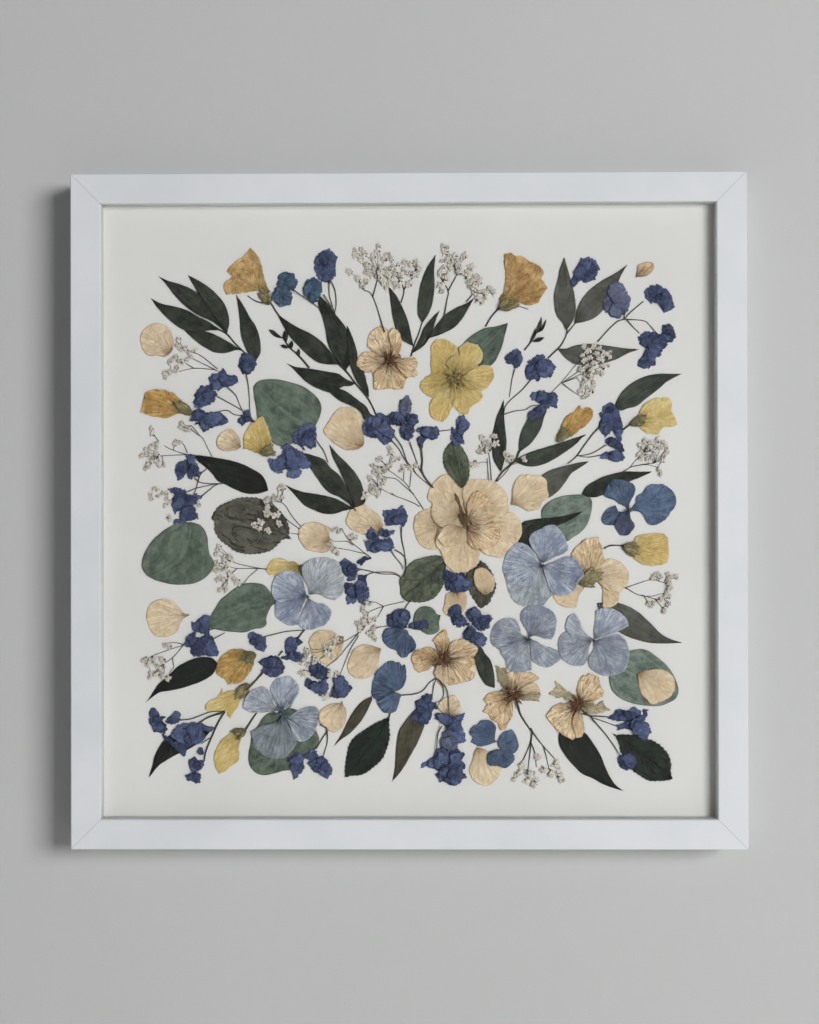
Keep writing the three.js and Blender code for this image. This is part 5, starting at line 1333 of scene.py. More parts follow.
moved = np.linalg.norm(ragged(leaf_curve, RELIEF["L"], 1) - leaf_curve, axis=1)
print("a crumpled rim moves the leaf's curve by up to", round(float(moved.max()), 2), "mm")

# %% [markdown]
# The inside is filled with points on a triangular grid, shaken a little so that no rows show, and joined
# by a constrained Delaunay triangulation, which keeps the outline's edges. Cutting a grid of squares to
# shape would leave slivers along the rim.

# %% Points and triangles inside an outline
ROW_APART = 0.87
SHAKEN = 0.22
RIM_CLEAR = 0.55


def distance_to_edge(spots, outline):
    """Each spot's distance to the outline, and whether it is inside."""
    start = outline
    chord = np.roll(outline, -1, axis=0) - outline
    length2 = (chord**2).sum(axis=1) + 1e-12
    offset = spots[:, None, :] - start[None]
    t = np.clip((offset * chord).sum(axis=2) / length2, 0, 1)
    nearest = np.linalg.norm(offset - t[:, :, None] * chord, axis=2).min(axis=1)
    end = start + chord
    x, z = spots[:, 0:1], spots[:, 1:2]
    crosses = (start[:, 1] > z) != (end[:, 1] > z)
    with np.errstate(divide="ignore", invalid="ignore"):
        at = start[:, 0] + chord[:, 0] * (z - start[:, 1]) / chord[:, 1]
    inside = (crosses & (x < at)).sum(axis=1) % 2 == 1
    return nearest, inside


def filled(outline, spacing, rng):
    """Points and triangles that fill the outline."""
    low, high = outline.min(axis=0), outline.max(axis=0)
    rows = np.arange(low[1], high[1], spacing * ROW_APART)
    spots = [(x + (i % 2) * spacing / 2, z) for i, z in enumerate(rows)
             for x in np.arange(low[0], high[0], spacing)]
    spots = np.array(spots) + rng.uniform(-SHAKEN, SHAKEN, (len(spots), 2)) * spacing
    nearest, inside = distance_to_edge(spots, outline)
    spots = spots[inside & (nearest > spacing * RIM_CLEAR)]
    everything = [Vector(p) for p in outline] + [Vector(p) for p in spots]
    loop = list(range(len(outline)))
    points, _, faces, *_ = delaunay_2d_cdt(everything, [], [loop], 1, 1e-6)
    points = np.array([p[:] for p in points])
    faces = np.array([f for f in faces if len(f) == 3])
    a, b, c = points[faces[:, 0]], points[faces[:, 1]], points[faces[:, 2]]
    turned = (b - a)[:, 0] * (c - a)[:, 1] - (b - a)[:, 1] * (c - a)[:, 0] < 0
    faces[turned] = faces[turned][:, ::-1]
    return points, faces


leaf_points, leaf_faces = filled(leaf_curve, 2.0, np.random.default_rng(0))
print("at 2 mm the first leaf has", len(leaf_points), "points and", len(leaf_faces), "triangles")

# %% [markdown]
# Every point then learns where it is on its blade: how far along, across, round the base and from the
# edge. The shape uses these values for folds and curl, and the materials read the same values for veins,
# so that veins and folds agree. The midrib is taken half way between the two sides of the outline.

# %% Where a point is on its blade
MIDRIB_STEPS = 24
LEAST_HALF = 0.3


def along_path(path, count):
    """Points evenly spaced by length along an open path."""
    length = np.concatenate([[0], np.cumsum(np.linalg.norm(np.diff(path, axis=0), axis=1))])
    at = np.linspace(0, length[-1], count)
    return np.stack([np.interp(at, length, path[:, k]) for k in (0, 1)], axis=1)


def blade_values(points, outline):
    """Each point's place on the blade: along 0 to 1, across -1 to 1, spread in radians, rest in mm."""
    base = outline[0]
    tip = int(np.argmax(np.linalg.norm(outline - base, axis=1)))
    left = along_path(outline[:tip + 1], MIDRIB_STEPS)
    right = along_path(np.vstack([outline[tip:], outline[:1]])[::-1], MIDRIB_STEPS)
    midrib = (left + right) / 2
    half = np.linalg.norm(left - right, axis=1) / 2 + LEAST_HALF
    chord = np.diff(midrib, axis=0)
    offset = points[:, None, :] - midrib[None, :-1]
    t = np.clip((offset * chord).sum(axis=2) / ((chord**2).sum(axis=1) + 1e-9), 0, 1)
    away = np.linalg.norm(offset - t[:, :, None] * chord, axis=2)
    best = away.argmin(axis=1)
    row = np.arange(len(points))
    t = t[row, best]
    side = np.sign(chord[best, 0] * offset[row, best, 1] - chord[best, 1] * offset[row, best, 0])
    width = half[best] * (1 - t) + half[best + 1] * t
    axis = outline[tip] - base
    from_base = points - base
    spread = np.arctan2(axis[0] * from_base[:, 1] - axis[1] * from_base[:, 0], from_base @ axis)
    edge, _ = distance_to_edge(points, outline)
    across = np.clip(side * away[row, best] / width, -1, 1)
    return {"along": (best + t) / (MIDRIB_STEPS - 1), "across": across,
            "reach": np.linalg.norm(from_base, axis=1), "spread": spread, "edge": edge}


leaf_reach = blade_values(leaf_points, leaf_curve)["reach"]
print("the first leaf is", round(float(leaf_reach.max())), "mm from base to tip")

# %% [markdown]
# Relief is what makes a pressed flower read as real: light from one side catches each fold. It is a
# height in millimetres above the sheet below. Petals are wrinkled in lines that fan out from their
# base, larkspur is crumpled all over, and leaves stay nearly flat with a groove along the midrib.
# It is real geometry, because a bump in the shading alone would cast no shadow and leave rims flat.

# %% Relief of a blade
LEAF_KINDS = "ERWUBVSDF"
RIDGE_SHARP = 2.4
EDGE_REACH = 4.0
LIFT_PATCH, WAVE_PATCH = 12, 14
FINER = 0.45
PETAL_FOLDS, PETAL_FOLD_LENGTH = 4.5, 20
LEAF_FOLDS, LEAF_FOLD_REPEAT = 5, 1.4
CUP, GROOVE, GROOVE_SHARP = 0.25, 0.12, 8


def ridges(x, z, scale, seed):
    """0 to 1, with sharp crests, as folds in a thin dry sheet have."""
    return 1.0 - np.minimum(np.abs(soft_noise(x, z, scale, seed)) * RIDGE_SHARP, 1.0)


def folds_of(kind, values, seed):
    """Folds from 0 to 1, and the cup and groove of a leaf in mm."""
    if kind[0] not in LEAF_KINDS:
        round_base, outward = values["spread"] * PETAL_FOLDS, values["reach"] / PETAL_FOLD_LENGTH
        return ridges(round_base, outward, 1.0, seed), 0.0
    across = values["across"]
    bowl = CUP * np.abs(across) - GROOVE * np.exp(-(across * GROOVE_SHARP) ** 2)
    return ridges(across * LEAF_FOLDS, values["along"] * LEAF_FOLD_REPEAT, 1.0, seed), bowl


def relief_of(kind, points, values, seed):
    """Height of each point over the flat sheet, in mm."""
    form = RELIEF[kind]
    x, z = points[:, 0], points[:, 1]
    fan, bowl = folds_of(kind, values, seed)
    coarse, fine = ridges(x, z, form.size, seed + 11), ridges(x, z, form.size * FINER, seed + 31)
    crumple = 0.7 * coarse + 0.3 * fine
    near_edge = np.clip(1 - values["edge"] / EDGE_REACH, 0, 1) ** 1.5
    lifted = near_edge * np.clip(soft_noise(x, z, LIFT_PATCH, seed + 5) * 1.8 + 0.35, 0, 1)
    height = form.folds * fan + form.crumple * crumple + form.lift * lifted + bowl
    height += form.waves * (0.5 + 0.5 * soft_noise(x, z, WAVE_PATCH, seed + 17))
    return np.maximum(height, 0.0)


leaf_relief = relief_of("E", leaf_points, blade_values(leaf_points, leaf_curve), 1)
print("the first leaf's relief reaches", round(float(leaf_relief.max()), 2), "mm")

# %% [markdown]
# Dry sheets are so thin that they drape over each other. The heap on the card is kept as a height map
# in cells of 1 mm. A cloth simulation would be slow for more than a hundred specimens, and hard to
# repeat.

# %% The heap on the card
CELLS = 441
CELL_ORIGIN = 220.5
card_front = -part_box("mount_card")[0][1] / MM
heap = np.zeros((CELLS, CELLS))


def widened(field, cells):
    """The field with each cell at the highest of its neighbours."""
    result = field.copy()
    for shift in range(-cells, cells + 1):
        for axis in (0, 1):
            result = np.maximum(result, np.roll(field, shift, axis=axis))
    return result


def blurred(field, cells):
    """The field averaged over a square of that many cells each way."""
    shifts = range(-cells, cells + 1)
    for axis in (0, 1):
        field = sum(np.roll(field, shift, axis=axis) for shift in shifts) / len(shifts)
    return field


def sampled(field, row, column):
    """The field between its cells."""
    row = np.clip(row, 0, field.shape[0] - 1.001)
    column = np.clip(column, 0, field.shape[1] - 1.001)
    r, c = row.astype(int), column.astype(int)
    fr, fc = row - r, column - c
    upper = field[r, c] * (1 - fc) + field[r, c + 1] * fc
    lower = field[r + 1, c] * (1 - fc) + field[r + 1, c + 1] * fc
    return upper * (1 - fr) + lower * fr


print("the card's face is", round(card_front, 2), "mm in front of the frame's middle")

# %% [markdown]
# Each blade lies on the heap under it, spans small hollows as a stiff sheet does, and then joins the
# heap. The highest of the close and the spanning surface is taken, so that nothing pokes through.

# %% Lying on the heap, and joining it
SPAN = 5
MARGIN = 14


def heap_under(points):
    """How high a sheet that lies on the heap is, at each point."""
    low = np.clip(np.floor(points.min(axis=0) + CELL_ORIGIN).astype(int) - MARGIN, 0, CELLS)
    high = np.clip(np.floor(points.max(axis=0) + CELL_ORIGIN).astype(int) + MARGIN, 0, CELLS)
    part = heap[low[1]:high[1], low[0]:high[0]]
    close = blurred(widened(part, 2), 1)
    spanning = blurred(blurred(widened(part, 2), SPAN), 2)
    row = points[:, 1] + CELL_ORIGIN - low[1] - 0.5
    column = points[:, 0] + CELL_ORIGIN - low[0] - 0.5
    return np.maximum(sampled(close, row, column), sampled(spanning, row, column))


def grow_heap(points, heights):
    """Adds a finished sheet to the heap."""
    place = np.clip(np.floor(points + CELL_ORIGIN).astype(int), 0, CELLS - 1)
    np.maximum.at(heap, (place[:, 1], place[:, 0]), heights)


print("under the first leaf the heap is", float(heap_under(leaf_points).max()), "mm high")

# %% [markdown]
# One specimen becomes one mesh. Its parts are gathered first, with the kind of each face and the values
# of each point, because a mesh that is made once is faster than one that grows part by part.

# %% Gather a specimen
VALUE_NAMES = ("along", "across", "reach", "spread", "edge", "seed", "height")


class Specimen:
    """Vertices, faces, material names and values, gathered until the mesh is made."""

    def __init__(self, name):
        self.name = name
        self.points = []
        self.faces = []
        self.kinds = []
        self.values = {value: [] for value in VALUE_NAMES}
        self.paths = []
        self.count = 0

    def take(self, points, faces, kind, values):
        """Adds points in mm, faces by index, and a value or an array for each value name."""
        self.points.append(points)
        self.faces += [tuple(int(i) + self.count for i in face) for face in faces]
        self.kinds += [kind] * len(faces)
        for value in VALUE_NAMES:
            given = values.get(value, 0.0)
            self.values[value].append(np.broadcast_to(given, len(points)).astype(np.float32))
        self.count += len(points)


print("each point keeps", VALUE_NAMES)

# %% [markdown]
# A blade is a closed sheet of the thickness of paper: its front, its back and a rim between them. Where
# the heap is already near the glass, its relief is pressed flatter. A single open sheet would show
# wrong shading from behind and could not be printed or weighed.

# %% The rim of a sheet, and its place above the card
def rim_of(faces):
    """Directed edges that only one triangle has."""
    edges = set()
    for a, b, c in faces.tolist():
        edges.update(((a, b), (b, c), (c, a)))
    return [(a, b) for a, b in edges if (b, a) not in edges]


def at_height(flat, height):
    """Points in space, in mm, from points on the card and their height above it."""
    return np.stack([flat[:, 0], -card_front - height, flat[:, 1]], axis=1)


print("the first leaf's rim has", len(rim_of(leaf_faces)), "edges")

# %% [markdown]
# Now all steps come together: curve, rim, triangles, values, relief and the heap below. The number that
# is stored as the seed later gives each blade its own shade, as no two petals dry alike.

# %% One blade
SHEET_THICK = 0.10
LIFT_OFF = 0.04
ROOM = 5.45
PRESSED_DEPTH = 3.0
OUTLINE_STEP = 0.7


def add_blade(specimen, kind, points, seed, strength=1.0):
    """A blade as a closed sheet, lying on the heap."""
    rng = np.random.default_rng(seed)
    form = RELIEF[kind]
    spacing = form.spacing * 1.0
    outline = ragged(rounded(points, spacing * OUTLINE_STEP, form.corner), form, seed)
    flat, faces = filled(outline, spacing, rng)
    values = blade_values(flat, outline)
    height = relief_of(kind, flat, values, seed)
    ground = heap_under(flat) + LIFT_OFF
    room_left = np.clip((ROOM - SHEET_THICK - ground) / PRESSED_DEPTH, 0, 1)
    front = ground + SHEET_THICK + strength * height * room_left
    values.update(seed=float(rng.uniform()), height=height)
    n = len(flat)
    rim = [(b, a, a + n, b + n) for a, b in rim_of(faces)]
    closed = faces.tolist() + (faces[:, ::-1] + n).tolist() + rim
    both = {key: np.tile(v, 2) if isinstance(v, np.ndarray) else v for key, v in values.items()}
    sheets = np.vstack([at_height(flat, front), at_height(flat, front - SHEET_THICK)])
    specimen.take(sheets, closed, kind, both)
    grow_heap(flat, front)
    return outline


print("sheets are", SHEET_THICK, "mm thick, with", ROOM, "mm of room up to the glass")

# %% [markdown]
# A larkspur floret dries into several crumpled layers. After its outer sheet, smaller petals are laid
# on it, each from near its middle towards its edge, as far as the outline goes. Layers give the torn
# shadows that one crumpled sheet does not.

# %% The inner petals of a larkspur floret
CRUMPLED_KINDS = "LPX"
SCRAP_AREA = 38.0
SCRAP_RELIEF = 0.7
SCRAP_SHAPE = ((0.0, 0.35), (0.3, 0.75), (0.62, 1.0), (0.9, 0.8), (1.0, 0.3))
SCRAP_WIDEST = 4.2
FEWEST_SCRAPS, MOST_SCRAPS = 2, 6
SEARCH = np.arange(1.0, 16.0, 0.5)
PULL_STEPS, PULL_IN = 8, 0.9


def scrap_outline(start, ahead, reach, half, wide):
    """An uneven petal from the start, that far ahead, with its half-width times each of the widths."""
    aside = np.array([-ahead[1], ahead[0]])
    left, right = [], []
    for (t, w), k, other in zip(SCRAP_SHAPE, wide, wide[::-1]):
        left.append(start + ahead * reach * t + aside * half * w * k)
        right.append(start + ahead * reach * t - aside * half * w * other)
    return np.array(left + right[::-1])


def add_scraps(specimen, kind, outline, seed):
    """Smaller crumpled petals on a larkspur floret, each from near its middle towards its edge."""
    rng = np.random.default_rng(seed + 7)
    x, z = outline[:, 0], outline[:, 1]
    area = abs(np.sum(x * np.roll(z, -1) - z * np.roll(x, -1))) / 2
    middle = outline.mean(axis=0)
    turned = rng.uniform(0, 2 * math.pi)
    count = int(np.clip(area / SCRAP_AREA + 1.0, FEWEST_SCRAPS, MOST_SCRAPS))
    for scrap in range(count):
        angle = turned + 2 * math.pi * (scrap + rng.uniform(-0.25, 0.25)) / count
        ahead = np.array([math.cos(angle), math.sin(angle)])
        start = middle - ahead * rng.uniform(0.3, 2.0) + rng.normal(0, 0.8, 2)
        _, inside = distance_to_edge(start + SEARCH[:, None] * ahead, outline)
        reach = SEARCH[inside].max() * rng.uniform(0.8, 0.97) if inside.any() else 2.0
        half = min(reach * rng.uniform(0.4, 0.75), SCRAP_WIDEST) + 0.4
        petal = scrap_outline(start, ahead, reach, half, rng.uniform(0.6, 1.15, len(SCRAP_SHAPE)))
        for _ in range(PULL_STEPS):
            _, inside = distance_to_edge(petal, outline)
            petal[~inside] = middle + (petal[~inside] - middle) * PULL_IN
        add_blade(specimen, kind, petal, seed + 101 * scrap, SCRAP_RELIEF)


print("inner petals: from", FEWEST_SCRAPS, "to", MOST_SCRAPS, "on a larkspur floret")

# %% [markdown]
# Stems dry into flattened tubes that thin towards their far end. Each is a ring of eight points that
# runs along a smooth path and lies on the heap. A Blender curve with a bevel would be as good for one
# stem, but as points it joins the specimen's mesh and the heap like everything else.

# %% A smooth path, and the faces of a tube
def smooth_path(points, step):
    """An open curve through the points."""
    ends = np.vstack([2 * points[0] - points[1], points, 2 * points[-1] - points[-2]])
    curve = []
    for i in range(1, len(ends) - 2):
        p, q, r, s = ends[i - 1:i + 3]
        steps = max(2, int(np.linalg.norm(r - q) / step))
        t = (np.arange(steps) / steps)[:, None]
        curve.append(0.5 * (2 * q + (r - p) * t + (2 * p - 5 * q + 4 * r - s) * t**2
                            + (3 * q - p - 3 * r + s) * t**3))
    return np.vstack(curve + [points[-1:]])


def tube_faces(rings, sides):
    """Quads between rings of points, and the two ends."""
    faces = []
    for i in range(rings - 1):
        for side in range(sides):
            a, b = i * sides + side, i * sides + (side + 1) % sides
            faces.append((b, a, a + sides, b + sides))
    faces.append(tuple(range(sides)))
    faces.append(tuple(reversed(range((rings - 1) * sides, rings * sides))))
    return faces


print("a tube of 3 rings of 8 points has", len(tube_faces(3, 8)), "faces")

# %% [markdown]
# A stem's half-width wavers a little along its length. It rises less than it is wide, because it was
# pressed, and it stays below the glass where it crosses the heap.

# %% Stems
STEM_SIDES = 8
STEM_STEP = 1.6
STEM_THINNING = 0.3
STEM_RISE = 0.38
STEM_UNEVEN = 0.12


def add_stem(specimen, width, points, seed):
    """A flattened tube that thins by a third towards its far end."""
    path = smooth_path(points, STEM_STEP)
    specimen.paths.append(path)
    length = np.linspace(0, 1, len(path))
    uneven = 1 + STEM_UNEVEN * soft_noise(path[:, 0], path[:, 1], 4, seed)
    half = width / 2 * (1 - STEM_THINNING * length) * uneven
    rise = np.minimum(half, STEM_RISE)
    along = np.gradient(path, axis=0)
    along /= np.linalg.norm(along, axis=1)[:, None] + 1e-9
    across = np.stack([-along[:, 1], along[:, 0]], axis=1)
    middle = np.minimum(heap_under(path) + LIFT_OFF, ROOM - 2 * rise) + rise
    rings = []
    for side in range(STEM_SIDES):
        angle = 2 * math.pi * side / STEM_SIDES
        flat = path + across * (half * math.cos(angle))[:, None]
        rings.append(at_height(flat, middle + rise * math.sin(angle)))
    values = {"along": np.repeat(length, STEM_SIDES), "seed": seed % 17 / 17}
    specimen.take(np.stack(rings, axis=1).reshape(-1, 3), tube_faces(len(path), STEM_SIDES), "T", values)
    grow_heap(path, middle + rise)


print("stems have", STEM_SIDES, "sides and rise", STEM_RISE, "mm at most from their middle")

# %% [markdown]
# The smallest petals are a millimetre or two long. There are thousands of them, so each is a closed
# sheet of only six quads, cupped and twisted a little. A modelled flower could be copied instead, but
# then all would be the same.

# %% One small petal
PETAL_ROWS = ((0.0, 0.25), (0.35, 0.9), (0.7, 1.0), (1.0, 0.55))
PETAL_THICK = 0.06
PETAL_CUP = 0.18


def add_petal(specimen, kind, start, angle, reach, width, height, rng):
    """One narrow petal of a few quads, cupped and twisted a little, as a closed sheet."""
    ahead = np.array([math.cos(angle), math.sin(angle)])
    aside = np.array([-ahead[1], ahead[0]])
    tilt, twist = rng.uniform(0.0, 0.5), rng.uniform(-0.35, 0.35)
    front = []
    for t, w in PETAL_ROWS:
        for s in (-1.0, 0.0, 1.0):
            spot = start + ahead * reach * t * (1 - 0.12 * abs(s)) + aside * width * w * s * 0.5
            up = height + tilt * t + twist * s * w + PETAL_CUP * abs(s) * w
            front.append((spot[0], -card_front - min(up, ROOM), spot[1]))
    front = np.array(front)
    n = len(front)
    corners = [row * 3 + side for row in range(len(PETAL_ROWS) - 1) for side in (0, 1)]
    faces = [(a, a + 1, a + 4, a + 3) for a in corners]
    first, second = front[1] - front[0], front[3] - front[0]
    if np.cross(first, second)[1] > 0:
        faces = [face[::-1] for face in faces]
    edges = {(f[i], f[(i + 1) % 4]) for f in faces for i in range(4)}
    rim = [(b, a, a + n, b + n) for a, b in edges if (b, a) not in edges]
    closed = faces + [tuple(i + n for i in reversed(f)) for f in faces] + rim
    along = np.tile(np.repeat([t for t, _ in PETAL_ROWS], 3), 2)
    back = front + np.array([0, PETAL_THICK, 0])
    values = {"along": along, "reach": along * reach, "seed": float(rng.uniform())}
    specimen.take(np.vstack([front, back]), closed, kind, values)


print("a small petal has", 2 * 3 * len(PETAL_ROWS), "points")

# %% [markdown]
# Behind each gypsophila flower sits the little brown cup that it grew from. It is a short tube that
# widens and closes again, and it gives the white heads their dark flecks.

# %% The cup behind a small flower
CALYX_SIDES = 6
CALYX_RINGS = ((-0.9, 0.15), (-0.3, 0.5), (0.3, 0.62), (0.9, 0.4))


def add_calyx(specimen, place, facing, size, height):
    """The little brown cup that a head grew from."""
    ahead = np.array([math.cos(facing), math.sin(facing)])
    aside = np.array([-ahead[1], ahead[0]])
    points = []
    for t, r in CALYX_RINGS:
        for side in range(CALYX_SIDES):
            turn_angle = math.pi * side / 3
            spot = place + ahead * t * size * 0.7 + aside * r * size * math.cos(turn_angle)
            up = height + 0.45 * r * size * math.sin(turn_angle)
            points.append((spot[0], -card_front - up, spot[1]))
    faces = tube_faces(len(CALYX_RINGS), CALYX_SIDES)
    specimen.take(np.array(points), faces, "A", {"seed": 0.5})


print("a cup has", len(tube_faces(len(CALYX_RINGS), CALYX_SIDES)), "faces")

# %% [markdown]
# A gypsophila flower is a tuft of narrow white petals. They are set by the golden angle, as many plants
# set theirs, in a loose fan that faces away from the stalk. Each lies a little above the last.

# %% One gypsophila flower
HEAD_PETALS = 14
HEAD_DEPTH = 1.8
PETAL_RISE = 0.065
GOLDEN_TURN = 2.4


def add_head(specimen, centre, size, facing, rng):
    """One head: petals in a loose fan that faces away from its stalk."""
    ground = float(heap_under(centre[None] + rng.uniform(-0.5, 0.5, (4, 2))).max())
    ground = min(ground, ROOM - HEAD_DEPTH)
    for petal in range(HEAD_PETALS):
        angle = facing + GOLDEN_TURN * petal + rng.uniform(-0.3, 0.3)
        reach = size * rng.uniform(1.8, 2.2) * (1.0 - 0.6 * petal / HEAD_PETALS)
        width = size * rng.uniform(0.9, 1.3) * (1.0 - 0.4 * petal / HEAD_PETALS)
        start = centre + rng.normal(0, 0.12, 2) * size
        kind = "A" if petal % 9 == 7 else "Z"
        add_petal(specimen, kind, start, angle, reach, width, ground + 0.2 + petal * PETAL_RISE, rng)
    back = np.array([math.cos(facing), math.sin(facing)])
    add_calyx(specimen, centre - 0.8 * size * back, facing, size, ground + 0.3)


print("a head has", HEAD_PETALS, "petals")

# %% [markdown]
# Each listed middle gets a flower, a fine bowed stalk from the nearest stem, and where there is room up
# to two smaller flowers beside it. Flowers that stand close together are smaller, so the size follows
# from the distance to the nearest neighbour.

# %% Gypsophila sprays
STALK_WIDTH = 0.4
STALK_LENGTHS = (1.5, 22)
HEAD_SIZES = (1.25, 1.9)
HEAD_SHARE = 0.34
CROWDED = 4.6
NEAR_HEADS = (0, 3)
NEAR_APART = (3.4, 4.8)
NEAR_SIZES = (0.9, 1.3)


def add_heads(specimen, centres, seed):
    """Small crumpled flower heads, each of many petals round a brown calyx, on a fine stalk."""
    rng = np.random.default_rng(seed)
    stems = np.vstack(specimen.paths) if specimen.paths else centres
    for centre in centres:
        room = np.sort(np.linalg.norm(centres - centre, axis=1))[1]
        size = rng.uniform(0.9, 1.1) * float(np.clip(HEAD_SHARE * room, *HEAD_SIZES))
        root = stems[np.linalg.norm(stems - centre, axis=1).argmin()]
        away = centre - root
        far = float(np.linalg.norm(away))
        facing = math.atan2(away[1], away[0]) if far > 1 else rng.uniform(0, 2 * math.pi)
        if STALK_LENGTHS[0] < far < STALK_LENGTHS[1]:
            bow = np.array([-away[1], away[0]]) * rng.uniform(-0.15, 0.15)
            add_stem(specimen, STALK_WIDTH, np.array([root, root + away / 2 + bow, centre]), seed)
        add_head(specimen, centre, size, facing, rng)
        for _ in range(int(rng.integers(*NEAR_HEADS)) if room > CROWDED else 0):
            beside = facing + rng.uniform(-1.7, 1.7)
            near = centre + rng.uniform(*NEAR_APART) * np.array([math.cos(beside), math.sin(beside)])
            add_head(specimen, near, rng.uniform(*NEAR_SIZES), beside, rng)


print("heads from", HEAD_SIZES[0], "to", HEAD_SIZES[1], "mm in size")

# %% [markdown]
# The heart of a larger flower is a small disc under a ring of narrow scales and stamens. The golden
# angle serves here too, with each scale a little above the last.

# %% The heart of a flower
HEART_DISC = 0.6
HEART_RELIEF = 0.6
HEART_SCALES = 22
HEART_DEPTH = 1.6
SCALE_RISE = 0.03


def add_star(specimen, kind, points, seed):
    """The heart of a flower: a small disc under a ring of narrow scales and stamens."""
    rng = np.random.default_rng(seed)
    middle = points.mean(axis=0)
    radius = np.linalg.norm(points - middle, axis=1).mean()
    add_blade(specimen, kind, middle + (points - middle) * HEART_DISC, seed, HEART_RELIEF)
    ground = float(heap_under(points).max())
    ground = min(ground, ROOM - HEART_DEPTH)
    for scale in range(HEART_SCALES):
        angle = GOLDEN_TURN * scale + rng.uniform(-0.4, 0.4)
        start = middle + rng.normal(0, 0.15, 2) * radius
        reach, width = radius * rng.uniform(0.5, 1.9), radius * rng.uniform(0.10, 0.26)
        add_petal(specimen, kind, start, angle, reach, width, ground + 0.1 + SCALE_RISE * scale, rng)


print("a heart has", HEART_SCALES, "scales and stamens")

# %% [markdown]
# The sepals of a bud fan out narrow and pointed from the end of its stem. The drawn outline says how
# far they reach each way. They go down in a shuffled order, so that they overlap as real ones do.

# %% Sepals
SEPALS = 6
SEPAL_FAN = 0.7
SEPAL_RELIEF = 0.8
SEPAL_SHAPE = ((0.0, 0.5), (0.3, 1.0), (0.65, 0.75), (1.0, 0.06))


def add_sepals(specimen, kind, points, seed):
    """A calyx: narrow pointed sepals that fan out from the first point as far as the outline."""
    rng = np.random.default_rng(seed)
    around = points[1:] - points[0]
    facing = math.atan2(*around.mean(axis=0)[::-1])
    turned = (np.arctan2(around[:, 1], around[:, 0]) - facing + math.pi) % (2 * math.pi) - math.pi
    order = turned.argsort()
    reaches = np.linalg.norm(around, axis=1)[order]
    for sepal in rng.permutation(SEPALS):
        share = np.clip((sepal + rng.uniform(-0.2, 0.2)) / (SEPALS - 1), 0, 1)
        angle = (turned.min() + share * (turned.max() - turned.min())) * SEPAL_FAN
        reach = np.interp(angle, turned[order], reaches) * rng.uniform(0.9, 1.15)
        ahead = np.array([math.cos(facing + angle), math.sin(facing + angle)])
        aside = np.array([-ahead[1], ahead[0]]) * reach * rng.uniform(0.12, 0.2)
        side = [points[0] + ahead * reach * t + aside * w for t, w in SEPAL_SHAPE]
        other = [points[0] + ahead * reach * t - aside * w for t, w in SEPAL_SHAPE]
        add_blade(specimen, kind, np.array(other + side[::-1]), seed + 71 * int(sepal), SEPAL_RELIEF)


print("a calyx has", SEPALS, "sepals")

# %% [markdown]
# Now the dried finishes. Four effects come back in many of them, so each is a node group: fine streaks
# along a blade, an uneven band at its rim, the side veins of a leaf, and thin creases. A group keeps one
# recipe in one place, where the same nodes in thirty materials would drift apart. The groups read the
# values that the mesh keeps, and give back only masks from 0 to 1.

# %% Helpers for node groups
def new_group(name, inputs, outputs):
    """A shader node group, from its inputs' usual values (None is a vector) and its outputs' names."""
    tree = bpy.data.node_groups.new(name, "ShaderNodeTree")
    for label, value in inputs.items():
        kind = "NodeSocketVector" if value is None else "NodeSocketFloat"
        socket = tree.interface.new_socket(label, in_out="INPUT", socket_type=kind)
        if value is not None:
            socket.default_value = value
    for label in outputs:
        tree.interface.new_socket(label, in_out="OUTPUT", socket_type="NodeSocketFloat")
    start = add(tree, "NodeGroupInput", (-900, 0))
    end = add(tree, "NodeGroupOutput", (900, 0))
    return tree, start, end


def place_group(tree, group, **values):
    """One use of a group, with some of its inputs given their own values."""
    node = add(tree, "ShaderNodeGroup")
    node.node_tree = group
    for label, value in values.items():
        node.inputs[label].default_value = value
    return node


def blade_place(tree, start, seed_step):
    """The group's Around, Outward and Seed as a vector for noise, each stretched by its own factor."""
    around = mathnode(tree, "MULTIPLY", start.outputs["Around"], start.outputs["Fineness"])
    outward = mathnode(tree, "MULTIPLY", start.outputs["Outward"], start.outputs["Drift"])
    shifted = mathnode(tree, "MULTIPLY", start.outputs["Seed"], seed_step)
    place = add(tree, "ShaderNodeCombineXYZ")
    for socket, value in zip(place.inputs, (around, outward, shifted)):
        tree.links.new(value, socket)
    return place.outputs[0]


print("a group has an input node, an output node and what stands between them")

# %% [markdown]
# Veins and fibres run from a blade's base to its tip. Noise that is stretched along the stored values
# follows any outline, which a texture laid on straight would not.

# %% Group: streaks along a blade
def streaks_group():
    """Streaks from 0 to 1; Around counts lines, Outward follows them."""
    tree, start, end = new_group(
        "streaks", {"Around": 0.0, "Outward": 0.0, "Seed": 0.0, "Fineness": 12.0, "Drift": 1.5},
        ["Streak"])
    streak = noise_of(tree, blade_place(tree, start, 57.0), 1.0, detail=3, roughness=0.6)
    tree.links.new(ramp(tree, streak, 0.42, 0.64), end.inputs["Streak"])
    return tree


STREAKS = streaks_group()
print("streaks:", len(STREAKS.nodes), "nodes")

# %% [markdown]
# Creases in a dry sheet are thin crooked lines. Noise passes through its middle value along such lines,
# so they are drawn where it is close to that value, and broken up by a second noise.

